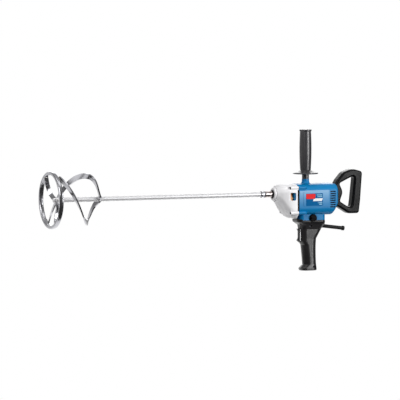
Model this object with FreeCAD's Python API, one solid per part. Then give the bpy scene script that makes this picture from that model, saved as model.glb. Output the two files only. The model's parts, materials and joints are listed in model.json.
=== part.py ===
import FreeCAD, Part
import math
import os

# Hand-held electric mixing drill with a helical ring paddle, in millimetres.
# The origin is the centre of the tommy-bar hole through the spindle.
# +X runs along the spindle axis to the rear, +Z is up and -Y is the left side.

Vec = FreeCAD.Vector
X_AXIS = Vec(1, 0, 0)
Y_AXIS = Vec(0, 1, 0)
Z_AXIS = Vec(0, 0, 1)

# Clearances
shaft_fit = 0.02
running_fit = 0.04
seat_fit = 0.1
free_gap = 0.4
end_play = 0.5
touching = 0.01

# Spindle line
spindle_radius = 9.0
spindle_nose_length = 14.0
tommy_hole_radius = 3.5
tommy_hole_tilt = 37.0
spindle_socket_depth = 8.5
bearing_seat_radius = 7.5
gear_seat_radius = 6.5
spindle_tail_radius = 4.0
circlip_thickness = 1.0
circlip_height = 1.6
key_width = 4.0
key_height = 1.5

# Nose and its bearing
nose_face_x = 9.0
nose_radius = 18.6
nose_chamfer = 1.6
seal_depth = 4.0
seal_radius = 12.0
seal_proud = 3.2
seal_lip_wall = 1.5
front_bearing_radius = 16.0
front_bearing_width = 9.0
bearing_ring = 3.0
bearing_recess = 0.6

# Gear train: module, tooth counts and face widths of the two stages
motor_drop = 16.5
module_fast = 0.8
pinion_fast_teeth = 7
wheel_fast_teeth = 36
wheel_fast_width = 4.5
module_slow = 1.25
pinion_slow_teeth = 8
wheel_slow_teeth = 30
wheel_slow_width = 7.0
pressure_angle = 25.0
addendum = 0.72
dedendum = 1.15
tooth_root_step = 0.1
tooth_share = 0.42
countershaft_radius = 3.5
counter_bush_radius = 5.5
counter_bush_length = 4.0
bush_back_wall = 1.5
gear_axial_gap = 1.0
gear_plate_thickness = 4.0
gear_plate_gap = 1.5
tail_bush_radius = 6.0

# Gear housing: distance from the seam, half width, top, bottom and corner radius of each section
housing_wall = 3.0
housing_front_wall = 3.8
housing_stations = [
    (-56.0, 21.5, 21.5, -22.0, 20.5),
    (-49.0, 27.0, 26.5, -30.0, 25.0),
    (-41.0, 33.6, 27.5, -40.0, 25.5),
    (-29.0, 39.0, 27.5, -54.0, 25.0),
    (-17.0, 40.8, 27.5, -64.5, 24.0),
    (-5.0, 41.0, 27.5, -69.0, 23.0),
    (0.0, 41.0, 27.5, -69.4, 23.0),
]
seam_gap = 1.2
gasket_inset = 0.8
housing_screw_top_y = 35.5
housing_screw_top_z = 18.0
housing_screw_low_left_y = -37.5
housing_screw_low_right_y = 33.5
housing_screw_low_z = -52.5
housing_screw_radius = 2.0
housing_screw_head_radius = 3.5
housing_screw_head_height = 3.5
housing_screw_sink = 20.0
housing_screw_grip = 20.0
screw_boss_wall = 1.6
screw_socket_share = 0.55
screw_socket_depth_share = 0.6
seam_pad_reach = 3.0
seam_pad_thickness = 1.2
plate_screw_places = [(-23.5, 9.0), (23.5, 9.0), (-20.0, -42.0), (20.0, -42.0)]
plate_screw_radius = 2.0
plate_screw_head_radius = 3.6
plate_screw_head_height = 2.2
plate_screw_reach = 7.0
plate_boss_radius = 4.0
bush_boss_wall = 1.8
plate_boss_length = 15.0

# Exhaust window on both sides of the gear housing
window_rear_gap = 7.6
window_length = 16.4
window_scoop_length = 4.2
window_scoop_depth = 1.6
window_bottom_z = -17.0
window_top_z = 5.0
window_corner = 3.5

# Motor housing
motor_housing_length = 122.8
motor_half_width = 40.0
motor_top_z = 27.0
motor_bottom_z = -60.0
motor_corner = 22.0
motor_wall = 3.0
motor_rear_wall = 9.0
motor_rear_bevel = 7.0
rear_slant_top_z = -27.5
rear_slant_run = 15.5
spigot_length = 9.5
spigot_wall = 2.6
rib_thickness = 5.0
screw_rib_length = 25.0
screw_rib_nose = 6.0
side_panel_setback = 14.0
side_panel_rear_gap = 8.8
side_panel_top_z = 10.5
side_panel_height = 46.0
side_panel_rise = 0.8
side_panel_corner = 8.0
vent_count = 8
vent_pitch = 6.2
vent_height = 3.2
vent_length = 16.5
vent_setback = 26.0
vent_middle_z = -15.9

# Motor inside the housing
stator_clearance = 6.0
armature_setback = 22.0
armature_slots = 12
slot_width = 3.0
slot_depth = 5.0
winding_length = 11.0
winding_tip_share = 0.7
winding_step = 3.0
air_gap = 0.8
stator_rim = 4.0
stator_window_depth = 6.7
stator_window_half_angle = 38.0
coil_overhang = 9.0
coil_half_angle = 86.0
coil_pole_angle = 3.0
coil_depth = 5.5
commutator_share = 5 / 9
commutator_length = 15.0
commutator_gap = 3.0
commutator_rear_gap = 10.8
commutator_bars = 16
commutator_slit_width = 0.75
motor_shaft_radius = 4.0
front_motor_bearing_radius = 8.5
rear_motor_bearing_radius = 11.0
rear_motor_bearing_width = 7.0
brush_width = 9.0
brush_height = 6.0
brush_length = 12.0
brush_holder_wall = 1.5
fan_clearance = 7.0
fan_width = 10.5
fan_gap = 1.5
fan_blades = 14
fan_blade_thickness = 1.8
fan_disc_thickness = 1.6
fan_hub_radius = 8.0
fan_blade_root_radius = 12.8
fan_blade_lean = 25.0
fan_band_width = 6.5
fan_band_thickness = 1.6
baffle_thickness = 2.0
baffle_eye_step = 7.0
baffle_gap = 1.0

# Trunk below the motor housing, and pistol grip. Each grip section has its drop below the trunk's
# split, its front and rear measured from the front of the motor housing, half width and corner radius.
trunk_setback = 7.3
trunk_rear = 90.5
trunk_split_z = -74.5
collar_stations = [
    (0.0, 4.6, 90.5, 27.0, 14.0),
    (5.0, 5.6, 91.3, 26.6, 13.5),
    (11.0, 13.8, 91.3, 24.0, 13.0),
    (14.0, 17.9, 91.0, 22.3, 14.0),
    (25.8, 18.0, 83.2, 19.5, 16.0),
]
collar_lip_height = 3.2
grip_stations = [
    (53.0, 18.1, 68.4, 18.5, 16.5),
    (60.0, 18.2, 68.0, 18.4, 16.7),
    (70.5, 24.6, 67.6, 18.3, 17.0),
]
haft_stations = [
    (98.0, 27.6, 67.7, 18.3, 17.3),
    (125.5, 30.0, 68.8, 18.3, 17.0),
]
foot_stations = [
    (136.0, 18.8, 69.8, 18.8, 16.0),
    (142.8, 21.5, 70.0, 18.8, 16.0),
]
grip_screw_places = [(44.8, 17.0), (55.8, 132.5)]
grip_screw_radius = 2.0
grip_screw_head_radius = 3.4
grip_screw_head_height = 2.4
grip_screw_sink = 3.0
grip_foot_round = 2.5

# Trigger, switch and reversing knob
trigger_drop = 25.0
trigger_height = 32.5
trigger_half_width = 7.0
trigger_setback = 12.2
trigger_hollow = 5.5
trigger_depth = 17.5
trigger_heel_run = 7.0
trigger_heel_drop = 6.0
trigger_travel = 6.0
trigger_corner = 3.0
switch_length = 26.0
switch_half_width = 12.0
switch_height = 28.0
plunger_radius = 3.0
plunger_length = 8.0
knob_setback = 48.8
knob_rise = 6.5
knob_radius = 10.6
knob_thickness = 5.5
knob_round = 1.8
knob_shaft_radius = 4.0
knob_shaft_length = 12.0
knob_bar_width = 4.5
knob_bar_height = 2.2
knob_bar_length = 14.8

# Side handle on top of the motor housing
handle_setback = 37.8
handle_boss_radius = 10.3
handle_boss_top_z = 40.6
handle_boss_flare = 7.0
handle_boss_step = 2.0
handle_boss_root = 1.0
handle_neck_radius = 9.8
handle_guard_radius = 36.0
handle_guard_bottom_z = 55.0
handle_guard_top_z = 62.0
handle_guard_rim = 3.6
handle_guard_bevel = 1.2
handle_grip_low_radius = 15.0
handle_grip_belly_radius = 16.9
handle_grip_belly_z = 138.0
handle_grip_top_radius = 15.6
handle_cap_bottom_z = 174.5
handle_cap_top_z = 180.5
handle_cap_radius = 17.2
handle_cap_round = 2.1
handle_stud_radius = 6.0
handle_stud_bottom_z = 27.5
handle_stud_top_z = 95.0
handle_cap_plug_radius = 7.0
handle_cap_plug_depth = 12.0

# Rear D-handle: outline corners behind the motor housing, with their radii
d_half_width = 15.0
d_edge_round = 6.0
d_outer_corners = [
    (0.0, 22.0, 7.0), (9.0, 37.0, 8.0), (27.0, 57.5, 20.0), (55.0, 67.0, 40.0),
    (86.2, 58.5, 9.0), (80.2, -22.0, 60.0), (75.7, -59.5, 8.0), (43.0, -59.5, 16.0),
    (14.0, -42.0, 12.0), (0.0, -37.0, 7.0),
]
d_inner_corners = [
    (15.0, 26.0, 5.5), (61.9, 48.0, 6.0), (54.5, -22.0, 60.0), (51.0, -45.5, 7.0),
    (17.0, -24.5, 5.5), (26.5, 2.0, 22.0),
]
d_screw_places = [(8.0, 20.0), (8.0, -28.0), (72.5, 52.5), (63.5, -52.5)]
d_screw_radius = 2.0
d_screw_head_radius = 3.4
d_screw_head_height = 2.4
d_screw_sink = 1.2

# Cord guard at the rear of the collar
guard_setback = 75.8
guard_drop = 16.5
guard_slant = 7.5
guard_length = 82.0
guard_radius = 5.2
guard_bore_radius = 3.6
guard_bead_radius = 6.6
guard_bead_length = 8.0
guard_flange_radius = 7.5
guard_flange_length = 5.0
clamp_length = 8.0
clamp_half_width = 10.0
clamp_height = 4.0
clamp_gap = 2.0

# Mixing rod and paddle
rod_radius = 6.7
rod_tip_round = 2.7
rod_collar_radius = 8.75
rod_collar_length = 12.5
rod_collar_gap = 1.0
rod_tip_x = -656.0
ring_radius = 80.0
ring_width = 13.0
ring_thickness = 9.5
ring_edge_round = 4.0
ring_middle_x = -662.0
ribbon_width = 15.0
ribbon_thickness = 4.4
ribbon_pitch = 240.0
ribbon_start_angle = 31.0
ribbon_helix_turn = 149.0
ribbon_curl_turn = 56.0
ribbon_taper = 8.0
ribbon_sections = 14
spoke_width = 12.0
spoke_thickness = 4.0
spoke_hub_angle = 288.0
spoke_rim_angle = 329.0
spoke_hub_setback = 8.0
spoke_twist = 55.0
spoke_sections = 8

# Worked-out places along the spindle axis
front_bearing_x = nose_face_x + seal_depth
front_bearing_end_x = front_bearing_x + front_bearing_width
counter_bush_x = front_bearing_end_x + bush_back_wall
counter_bush_end_x = counter_bush_x + counter_bush_length
pinion_slow_x = counter_bush_end_x + end_play
pinion_slow_end_x = pinion_slow_x + wheel_slow_width + gear_axial_gap
wheel_slow_x = pinion_slow_x + gear_axial_gap / 2
wheel_slow_end_x = wheel_slow_x + wheel_slow_width
wheel_fast_x = pinion_slow_end_x + gear_axial_gap
wheel_fast_end_x = wheel_fast_x + wheel_fast_width
gear_plate_x = wheel_fast_end_x + gear_plate_gap
gear_plate_end_x = gear_plate_x + gear_plate_thickness
fan_x = gear_plate_end_x + fan_gap
fan_end_x = fan_x + fan_width
baffle_x = fan_end_x + baffle_gap
baffle_end_x = baffle_x + baffle_thickness
seam_x = baffle_end_x + spigot_length
motor_front_x = seam_x + seam_gap
motor_rear_x = motor_front_x + motor_housing_length
armature_core_x = motor_front_x + armature_setback
motor_rear_wall_x = motor_rear_x - motor_rear_wall
handle_x = motor_front_x + handle_setback
knob_x = motor_front_x + knob_setback
knob_z = trunk_split_z + knob_rise
trigger_x = motor_front_x + trigger_setback
trigger_top_z = trunk_split_z - trigger_drop
trigger_bottom_z = trigger_top_z - trigger_height
trigger_heel_z = trigger_bottom_z - trigger_heel_drop
trigger_rear_x = trigger_x + trigger_depth
switch_x = trigger_rear_x + trigger_travel + end_play
rear_bearing_x = motor_rear_wall_x - rear_motor_bearing_width
commutator_end_x = rear_bearing_x - commutator_rear_gap
commutator_x = commutator_end_x - commutator_length
armature_core_end_x = commutator_x - commutator_gap - winding_length
pinion_fast_x = wheel_fast_x - end_play
pinion_fast_end_x = wheel_fast_end_x + end_play
brush_x = commutator_x + commutator_length / 2
rod_collar_x = -spindle_nose_length - rod_collar_gap
rod_shoulder_x = rod_collar_x - rod_collar_length
ring_rear_x = ring_middle_x + ring_width / 2

# Motor radii, from the width of its housing
stator_radius = motor_half_width - stator_clearance
stator_window_radius = stator_radius - stator_rim
armature_radius = stator_window_radius - stator_window_depth - air_gap
winding_radius = armature_radius - winding_step
commutator_radius = armature_radius * commutator_share
fan_radius = motor_half_width - fan_clearance
baffle_eye_radius = fan_radius - baffle_eye_step

# Gear centres: the countershaft stands at both centre distances, on the right side
pinion_fast_pitch = module_fast * pinion_fast_teeth / 2
wheel_fast_pitch = module_fast * wheel_fast_teeth / 2
pinion_slow_pitch = module_slow * pinion_slow_teeth / 2
wheel_slow_pitch = module_slow * wheel_slow_teeth / 2
fast_distance = pinion_fast_pitch + wheel_fast_pitch
slow_distance = pinion_slow_pitch + wheel_slow_pitch
motor_z = -motor_drop
counter_z = (fast_distance ** 2 - slow_distance ** 2 - motor_drop ** 2) / (2 * motor_drop)
counter_y = math.sqrt(slow_distance ** 2 - counter_z ** 2)


def bar_x(radius, x0, x1, y=0.0, z=0.0):
    return Part.makeCylinder(radius, x1 - x0, Vec(x0, y, z), X_AXIS)


def bar_y(radius, y0, y1, x, z):
    return Part.makeCylinder(radius, y1 - y0, Vec(x, y0, z), Y_AXIS)


def bar_z(radius, z0, z1, x, y=0.0):
    return Part.makeCylinder(radius, z1 - z0, Vec(x, y, z0), Z_AXIS)


def tube_x(outer, inner, x0, x1, y=0.0, z=0.0):
    return bar_x(outer, x0, x1, y, z).cut(bar_x(inner, x0, x1, y, z))


def block(x0, x1, y0, y1, z0, z1):
    return Part.makeBox(x1 - x0, y1 - y0, z1 - z0, Vec(x0, y0, z0))


def one_solid(shape):
    shape = shape.removeSplitter()
    if len(shape.Solids) != 1:
        raise ValueError("expected one solid, found %d" % len(shape.Solids))
    return shape.Solids[0]


def group(solids):
    return Part.makeCompound([one_solid(solid) for solid in solids])


def turned_x(profile, y=0.0, z=0.0):
    """Solid of revolution about a line along X, from (x, radius) points."""
    points = [Vec(x, y, z + radius) for x, radius in profile]
    face = Part.Face(Part.makePolygon(points + [points[0]]))
    return face.revolve(Vec(0, y, z), X_AXIS, 360)


def turned_z(profile, x, y=0.0):
    """Solid of revolution about a line along Z, from (radius, z) points."""
    points = [Vec(x + radius, y, z) for radius, z in profile]
    face = Part.Face(Part.makePolygon(points + [points[0]]))
    return face.revolve(Vec(x, y, 0), Z_AXIS, 360)


def rounded_wire(corners, place):
    """Closed outline of lines and corner arcs; corners are (u, v, radius), place maps (u, v) to space."""
    edges = []
    ends = []
    count = len(corners)
    for index in range(count):
        u, v, radius = corners[index]
        corner = Vec(u, v, 0)
        to_last = Vec(*corners[index - 1][:2], 0) - corner
        to_next = Vec(*corners[(index + 1) % count][:2], 0) - corner
        half = to_last.getAngle(to_next) / 2
        reach = radius / math.tan(half)
        to_last.normalize()
        to_next.normalize()
        middle = to_last + to_next
        middle.normalize()
        arc_middle = corner + middle * (radius / math.sin(half) - radius)
        ends.append((corner + to_last * reach, arc_middle, corner + to_next * reach))
    for index in range(count):
        arc_start, arc_middle, arc_end = [place(p.x, p.y) for p in ends[index]]
        edges.append(Part.Arc(arc_start, arc_middle, arc_end).toShape())
        following = ends[(index + 1) % count][0]
        line_end = place(following.x, following.y)
        if arc_end.distanceToPoint(line_end) > 1e-6:
            edges.append(Part.LineSegment(arc_end, line_end).toShape())
    return Part.Wire(edges)


def rounded_box(half_width, low, high, radius):
    return [(-half_width, low, radius), (half_width, low, radius),
            (half_width, high, radius), (-half_width, high, radius)]


def section_x(x, half_width, top, bottom, radius):
    return rounded_wire(rounded_box(half_width, bottom, top, radius), lambda u, v: Vec(x, u, v))


def section_z(z, front, rear, half_width, radius):
    corners = [(front, -half_width, radius), (rear, -half_width, radius),
               (rear, half_width, radius), (front, half_width, radius)]
    return rounded_wire(corners, lambda u, v: Vec(u, v, z))


def slab_y(corners, y0, y1):
    """Rounded outline in the XZ plane, given thickness from y0 to y1."""
    wire = rounded_wire(corners, lambda u, v: Vec(u, y0, v))
    return Part.Face(wire).extrude(Vec(0, y1 - y0, 0))


def prism_x(wire, length):
    return Part.Face(wire).extrude(Vec(length, 0, 0))


def mirrored(shape):
    return shape.mirror(Vec(0, 0, 0), Y_AXIS)


def left_half(shape):
    box = shape.BoundBox
    return shape.common(block(box.XMin - 1, box.XMax + 1, box.YMin - 1, 0, box.ZMin - 1, box.ZMax + 1))


def right_half(shape):
    box = shape.BoundBox
    return shape.common(block(box.XMin - 1, box.XMax + 1, 0, box.YMax + 1, box.ZMin - 1, box.ZMax + 1))


# Gear teeth

def involute_half_angle(radius, base_radius, pitch_radius, half_at_pitch):
    """Half the angle that a tooth covers at a radius, for an involute flank."""
    def involute(r):
        cosine = min(1.0, base_radius / r)
        angle = math.acos(cosine)
        return math.tan(angle) - angle
    return half_at_pitch + involute(pitch_radius) - involute(max(radius, base_radius))


def gear_wire(module, teeth, x, turn):
    """Outline of a spur gear about the X axis; turn is the angle of a tooth from +Y, in degrees."""
    pitch_radius = module * teeth / 2
    base_radius = pitch_radius * math.cos(math.radians(pressure_angle))
    tip_radius = pitch_radius + addendum * module
    root_radius = pitch_radius - dedendum * module
    half_at_pitch = tooth_share * math.pi / teeth
    radii = [root_radius, max(base_radius, root_radius + tooth_root_step * module), pitch_radius, tip_radius]
    flank = [(r, involute_half_angle(r, base_radius, pitch_radius, half_at_pitch)) for r in radii]
    points = []
    for tooth in range(teeth):
        middle = math.radians(turn) + 2 * math.pi * tooth / teeth
        side = [(r, middle - half) for r, half in flank]
        side += [(r, middle + half) for r, half in reversed(flank)]
        points += [Vec(x, r * math.cos(a), r * math.sin(a)) for r, a in side]
    return Part.makePolygon(points + [points[0]])


def spur_gear(module, teeth, x0, x1, y, z, turn):
    gear = prism_x(gear_wire(module, teeth, x0, turn), x1 - x0)
    gear.translate(Vec(0, y, z))
    return gear


def angle_to(y0, z0, y1, z1):
    return math.degrees(math.atan2(z1 - z0, y1 - y0))


slow_line = angle_to(0, 0, counter_y, counter_z)
fast_line = angle_to(0, motor_z, counter_y, counter_z)
wheel_slow_turn = slow_line
pinion_slow_turn = slow_line + 180 + 180 / pinion_slow_teeth
wheel_fast_turn = fast_line + 180
pinion_fast_turn = fast_line + 180 / pinion_fast_teeth


# Spindle line

def make_spindle():
    body = turned_x([
        (-spindle_nose_length, 0), (-spindle_nose_length, spindle_radius),
        (front_bearing_x, spindle_radius), (front_bearing_x, bearing_seat_radius),
        (wheel_slow_x, bearing_seat_radius), (wheel_slow_x, gear_seat_radius),
        (wheel_slow_end_x + circlip_thickness + seat_fit * 2, gear_seat_radius),
        (wheel_slow_end_x + circlip_thickness + seat_fit * 2, spindle_tail_radius),
        (gear_plate_end_x, spindle_tail_radius), (gear_plate_end_x, 0),
    ])
    tilt = math.radians(tommy_hole_tilt)
    along = Vec(0, -math.cos(tilt), math.sin(tilt))
    reach = spindle_radius * 2
    hole = Part.makeCylinder(tommy_hole_radius, reach * 2, along * -reach, along)
    socket = bar_x(rod_radius + shaft_fit, -spindle_nose_length, spindle_socket_depth - spindle_nose_length)
    groove_x = wheel_slow_end_x + seat_fit
    groove = tube_x(gear_seat_radius + 1, gear_seat_radius - circlip_height / 2,
                    groove_x, groove_x + circlip_thickness)
    keyway = block(wheel_slow_x, wheel_slow_end_x, -key_width / 2, key_width / 2,
                   gear_seat_radius - key_height, gear_seat_radius + 1)
    return one_solid(body.cut([hole, socket, groove, keyway]))


def make_spindle_key():
    top = gear_seat_radius + key_height
    return one_solid(block(wheel_slow_x, wheel_slow_end_x, shaft_fit - key_width / 2, key_width / 2 - shaft_fit,
                           gear_seat_radius - key_height, top))


def make_spindle_circlip():
    groove_x = wheel_slow_end_x + seat_fit
    ring = tube_x(gear_seat_radius + circlip_height / 2, gear_seat_radius - circlip_height / 2 + shaft_fit,
                  groove_x, groove_x + circlip_thickness)
    mouth = block(groove_x - 1, groove_x + circlip_thickness + 1, -key_width / 2, key_width / 2,
                  -2 * gear_seat_radius, 0)
    return one_solid(ring.cut(mouth))


def make_spindle_gear():
    gear = spur_gear(module_slow, wheel_slow_teeth, wheel_slow_x, wheel_slow_end_x, 0, 0, wheel_slow_turn)
    bore = bar_x(gear_seat_radius + shaft_fit, wheel_slow_x, wheel_slow_end_x)
    keyway = block(wheel_slow_x, wheel_slow_end_x, -key_width / 2, key_width / 2,
                   0, gear_seat_radius + key_height + shaft_fit)
    return one_solid(gear.cut([bore, keyway]))


def ball_bearing(outer, bore, x0, x1, y, z):
    """Bearing ring with recessed shields between its inner and outer races."""
    race = min(bearing_ring, (outer - bore) / 3)
    ring = tube_x(outer, bore, x0, x1, y, z)
    front = tube_x(outer - race, bore + race, x0, x0 + bearing_recess, y, z)
    rear = tube_x(outer - race, bore + race, x1 - bearing_recess, x1, y, z)
    return one_solid(ring.cut([front, rear]))


def make_spindle_front_bearing():
    return ball_bearing(front_bearing_radius, bearing_seat_radius + running_fit,
                        front_bearing_x + running_fit, front_bearing_end_x, 0, 0)


def make_spindle_rear_bush():
    return one_solid(tube_x(tail_bush_radius, spindle_tail_radius + running_fit,
                            gear_plate_x, gear_plate_end_x))


def make_nose_seal():
    ring = turned_x([
        (nose_face_x - seal_proud, spindle_radius + free_gap),
        (nose_face_x - seal_proud, spindle_radius + free_gap + seal_lip_wall),
        (nose_face_x, seal_radius - shaft_fit), (front_bearing_x - seat_fit, seal_radius - shaft_fit),
        (front_bearing_x - seat_fit, spindle_radius + free_gap),
    ])
    return one_solid(ring)


# Countershaft

def make_countershaft():
    shaft = turned_x([
        (counter_bush_x + end_play, 0), (counter_bush_x + end_play, countershaft_radius),
        (gear_plate_end_x - end_play, countershaft_radius), (gear_plate_end_x - end_play, 0),
    ], counter_y, counter_z)
    pinion = spur_gear(module_slow, pinion_slow_teeth, pinion_slow_x, pinion_slow_end_x,
                       counter_y, counter_z, pinion_slow_turn)
    return one_solid(shaft.fuse(pinion))


def make_counter_gear():
    gear = spur_gear(module_fast, wheel_fast_teeth, wheel_fast_x, wheel_fast_end_x,
                     counter_y, counter_z, wheel_fast_turn)
    bore = bar_x(countershaft_radius + shaft_fit, wheel_fast_x, wheel_fast_end_x, counter_y, counter_z)
    web_outer = wheel_fast_pitch - 3 * module_fast
    web_inner = countershaft_radius + 3
    web_depth = wheel_fast_width / 4
    front = tube_x(web_outer, web_inner, wheel_fast_x, wheel_fast_x + web_depth, counter_y, counter_z)
    rear = tube_x(web_outer, web_inner, wheel_fast_end_x - web_depth, wheel_fast_end_x, counter_y, counter_z)
    return one_solid(gear.cut([bore, front, rear]))


def make_counter_front_bush():
    return one_solid(tube_x(counter_bush_radius, countershaft_radius + running_fit,
                            counter_bush_x, counter_bush_end_x, counter_y, counter_z))


def make_counter_rear_bush():
    return one_solid(tube_x(counter_bush_radius, countershaft_radius + running_fit,
                            gear_plate_x, gear_plate_end_x, counter_y, counter_z))


# Gear housing

def housing_section(x, inset):
    """Outline of the gear housing at x, moved inwards by inset."""
    offset = x - seam_x
    for low, high in zip(housing_stations, housing_stations[1:]):
        if offset <= high[0]:
            break
    share = (offset - low[0]) / (high[0] - low[0])
    half_width, top, bottom, radius = [a + (b - a) * share for a, b in zip(low[1:], high[1:])]
    return section_x(x, half_width - inset, top - inset, bottom + inset, radius - inset)


def housing_loft(x0, x1, inset):
    between = [seam_x + station[0] for station in housing_stations]
    places = [x0] + [x for x in between if x0 + 1 < x < x1 - 1] + [x1]
    return Part.makeLoft([housing_section(x, inset) for x in places], True)


def housing_screw_places():
    upper = [(-housing_screw_top_y, housing_screw_top_z), (housing_screw_top_y, housing_screw_top_z)]
    lower = [(y, housing_screw_low_z) for y in (housing_screw_low_left_y, housing_screw_low_right_y)]
    return upper + lower


screw_boss_radius = housing_screw_head_radius + screw_boss_wall
screw_seat_x = seam_x - housing_screw_sink
window_end_x = seam_x - window_rear_gap
window_x = window_end_x - window_length
window_half_width = housing_section(window_x, 0).BoundBox.YMax


def screw_boss_room(x0, x1):
    return [bar_x(screw_boss_radius + free_gap, x0, x1, y, z) for y, z in housing_screw_places()]


def seam_pads(inset, grow):
    """Side strips across the seam between the screw bosses, from an inset down to their rebate floor."""
    x0 = seam_x - seam_pad_reach - grow
    x1 = motor_front_x + seam_pad_reach / 2 + grow
    ring = prism_x(housing_section(seam_x, inset), x1 - x0)
    ring = ring.cut(prism_x(housing_section(seam_x, gasket_inset + seam_pad_thickness), x1 - x0))
    ring.translate(Vec(x0 - seam_x, 0, 0))
    low_z = housing_screw_low_z + screw_boss_radius + end_play - grow
    high_z = housing_screw_top_z - screw_boss_radius - end_play + grow
    reach = motor_half_width * 2
    return ring.common(block(x0, x1, -reach, reach, low_z, high_z))


def make_gear_housing():
    outer = housing_loft(seam_x + housing_stations[0][0], seam_x, 0)
    neck_end_x = front_bearing_end_x
    neck = turned_x([
        (nose_face_x, 0), (nose_face_x, nose_radius - nose_chamfer),
        (nose_face_x + nose_chamfer, nose_radius), (neck_end_x, nose_radius), (neck_end_x, 0),
    ])
    outer = outer.fuse(neck)
    cavity = housing_loft(counter_bush_x, gear_plate_x, housing_front_wall)
    cavity = cavity.fuse(housing_loft(gear_plate_x, seam_x, housing_wall))
    bosses = [bar_x(screw_boss_radius, counter_bush_end_x, seam_x, y, z) for y, z in housing_screw_places()]
    plate_boss_x = gear_plate_x - plate_boss_length
    bosses += [bar_x(plate_boss_radius, plate_boss_x, gear_plate_x, y, z) for y, z in plate_screw_places]
    bush_boss_radius = counter_bush_radius + bush_boss_wall
    bosses.append(bar_x(bush_boss_radius, front_bearing_end_x, counter_bush_end_x, counter_y, counter_z))
    bosses = [boss.common(outer) for boss in bosses]
    boss_front_x = screw_seat_x - housing_screw_head_height
    bosses += [bar_x(screw_boss_radius, boss_front_x, seam_x, y, z) for y, z in housing_screw_places()]
    body = outer.cut(cavity).fuse(bosses)
    cuts = [
        bar_x(seal_radius, nose_face_x, front_bearing_x),
        bar_x(front_bearing_radius + shaft_fit, front_bearing_x, counter_bush_x),
        bar_x(counter_bush_radius + shaft_fit, counter_bush_x, counter_bush_end_x, counter_y, counter_z),
    ]
    for y, z in housing_screw_places():
        cuts.append(bar_x(housing_screw_head_radius + free_gap, nose_face_x, screw_seat_x, y, z))
        cuts.append(bar_x(housing_screw_radius + seat_fit, screw_seat_x, seam_x, y, z))
    for y, z in plate_screw_places:
        cuts.append(bar_x(plate_screw_radius + shaft_fit, gear_plate_x - plate_screw_reach, gear_plate_x, y, z))
    window = slab_y(window_corners(window_x, window_end_x), -motor_half_width * 2, 0)
    scoop_y = scoop_depth_y()
    scoop = slab_y(window_corners(window_x - window_scoop_length, window_x + window_length),
                   -motor_half_width * 2, scoop_y)
    cuts += [window, scoop, mirrored(window), mirrored(scoop)]
    cuts += seam_pads(-housing_wall, seat_fit).Solids
    return one_solid(body.cut(cuts))


def scoop_depth_y():
    return window_scoop_depth - window_half_width


def window_corners(x0, x1):
    return [(x0, window_bottom_z, window_corner), (x1, window_bottom_z, window_corner),
            (x1, window_top_z, window_corner), (x0, window_top_z, window_corner)]


def make_gear_plate():
    plate = prism_x(housing_section(gear_plate_x, housing_wall + seat_fit), gear_plate_thickness)
    cuts = screw_boss_room(gear_plate_x, gear_plate_end_x)
    cuts.append(bar_x(tail_bush_radius + shaft_fit, gear_plate_x, gear_plate_end_x))
    cuts.append(bar_x(counter_bush_radius + shaft_fit, gear_plate_x, gear_plate_end_x, counter_y, counter_z))
    cuts.append(bar_x(front_motor_bearing_radius + shaft_fit, gear_plate_x, gear_plate_end_x, 0, motor_z))
    for y, z in plate_screw_places:
        cuts.append(bar_x(plate_screw_radius + seat_fit, gear_plate_x, gear_plate_end_x, y, z))
        cuts.append(bar_x(plate_screw_head_radius + seat_fit, gear_plate_end_x - plate_screw_head_height,
                          gear_plate_end_x, y, z))
    return one_solid(plate.cut(cuts))


def cap_screw(seat, along, radius, head_radius, head_height, length):
    """Socket head screw: its head seats at a point, and its shank runs along a direction from there."""
    shank = Part.makeCylinder(radius, length, seat, along)
    top = seat - along * head_height
    head = Part.makeCylinder(head_radius, head_height, top, along)
    across = along.cross(Vec(along.z, along.x, along.y))
    across.normalize()
    upward = along.cross(across)
    socket_radius = head_radius * screw_socket_share
    corners = []
    for index in range(6):
        angle = math.radians(60 * index)
        corners.append(top + (across * math.cos(angle) + upward * math.sin(angle)) * socket_radius)
    hexagon = Part.Face(Part.makePolygon(corners + [corners[0]]))
    socket = hexagon.extrude(along * (head_height * screw_socket_depth_share))
    return shank.fuse(head).cut(socket)


def make_gear_plate_screws():
    seat_x = gear_plate_end_x - plate_screw_head_height
    length = seat_x - gear_plate_x + plate_screw_reach - end_play
    return group([cap_screw(Vec(seat_x, y, z), X_AXIS * -1, plate_screw_radius, plate_screw_head_radius,
                            plate_screw_head_height, length) for y, z in plate_screw_places])


def make_housing_screws():
    length = housing_screw_sink + housing_screw_grip
    return group([cap_screw(Vec(screw_seat_x, y, z), X_AXIS, housing_screw_radius, housing_screw_head_radius,
                            housing_screw_head_height, length) for y, z in housing_screw_places()])


def make_fan_baffle():
    baffle = prism_x(housing_section(baffle_x, housing_wall + seat_fit * 2), baffle_thickness)
    eye = bar_x(baffle_eye_radius, baffle_x, baffle_end_x, 0, motor_z)
    return one_solid(baffle.cut(screw_boss_room(baffle_x, baffle_end_x) + [eye]))


# Motor

def sector(radius, x0, x1, middle, half_angle):
    """Wedge about the motor axis, opening towards the angle middle (degrees from +Y)."""
    reach = radius / math.cos(math.radians(half_angle))
    points = [Vec(x0, 0, motor_z)]
    for side in (-1, 1):
        angle = math.radians(middle + side * half_angle)
        points.append(Vec(x0, reach * math.cos(angle), motor_z + reach * math.sin(angle)))
    return prism_x(Part.makePolygon(points + [points[0]]), x1 - x0)


def make_armature_shaft():
    shaft = bar_x(motor_shaft_radius, pinion_fast_end_x, motor_rear_wall_x - end_play, 0, motor_z)
    pinion = spur_gear(module_fast, pinion_fast_teeth, pinion_fast_x, pinion_fast_end_x, 0, motor_z,
                       pinion_fast_turn)
    return one_solid(shaft.fuse(pinion))


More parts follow.
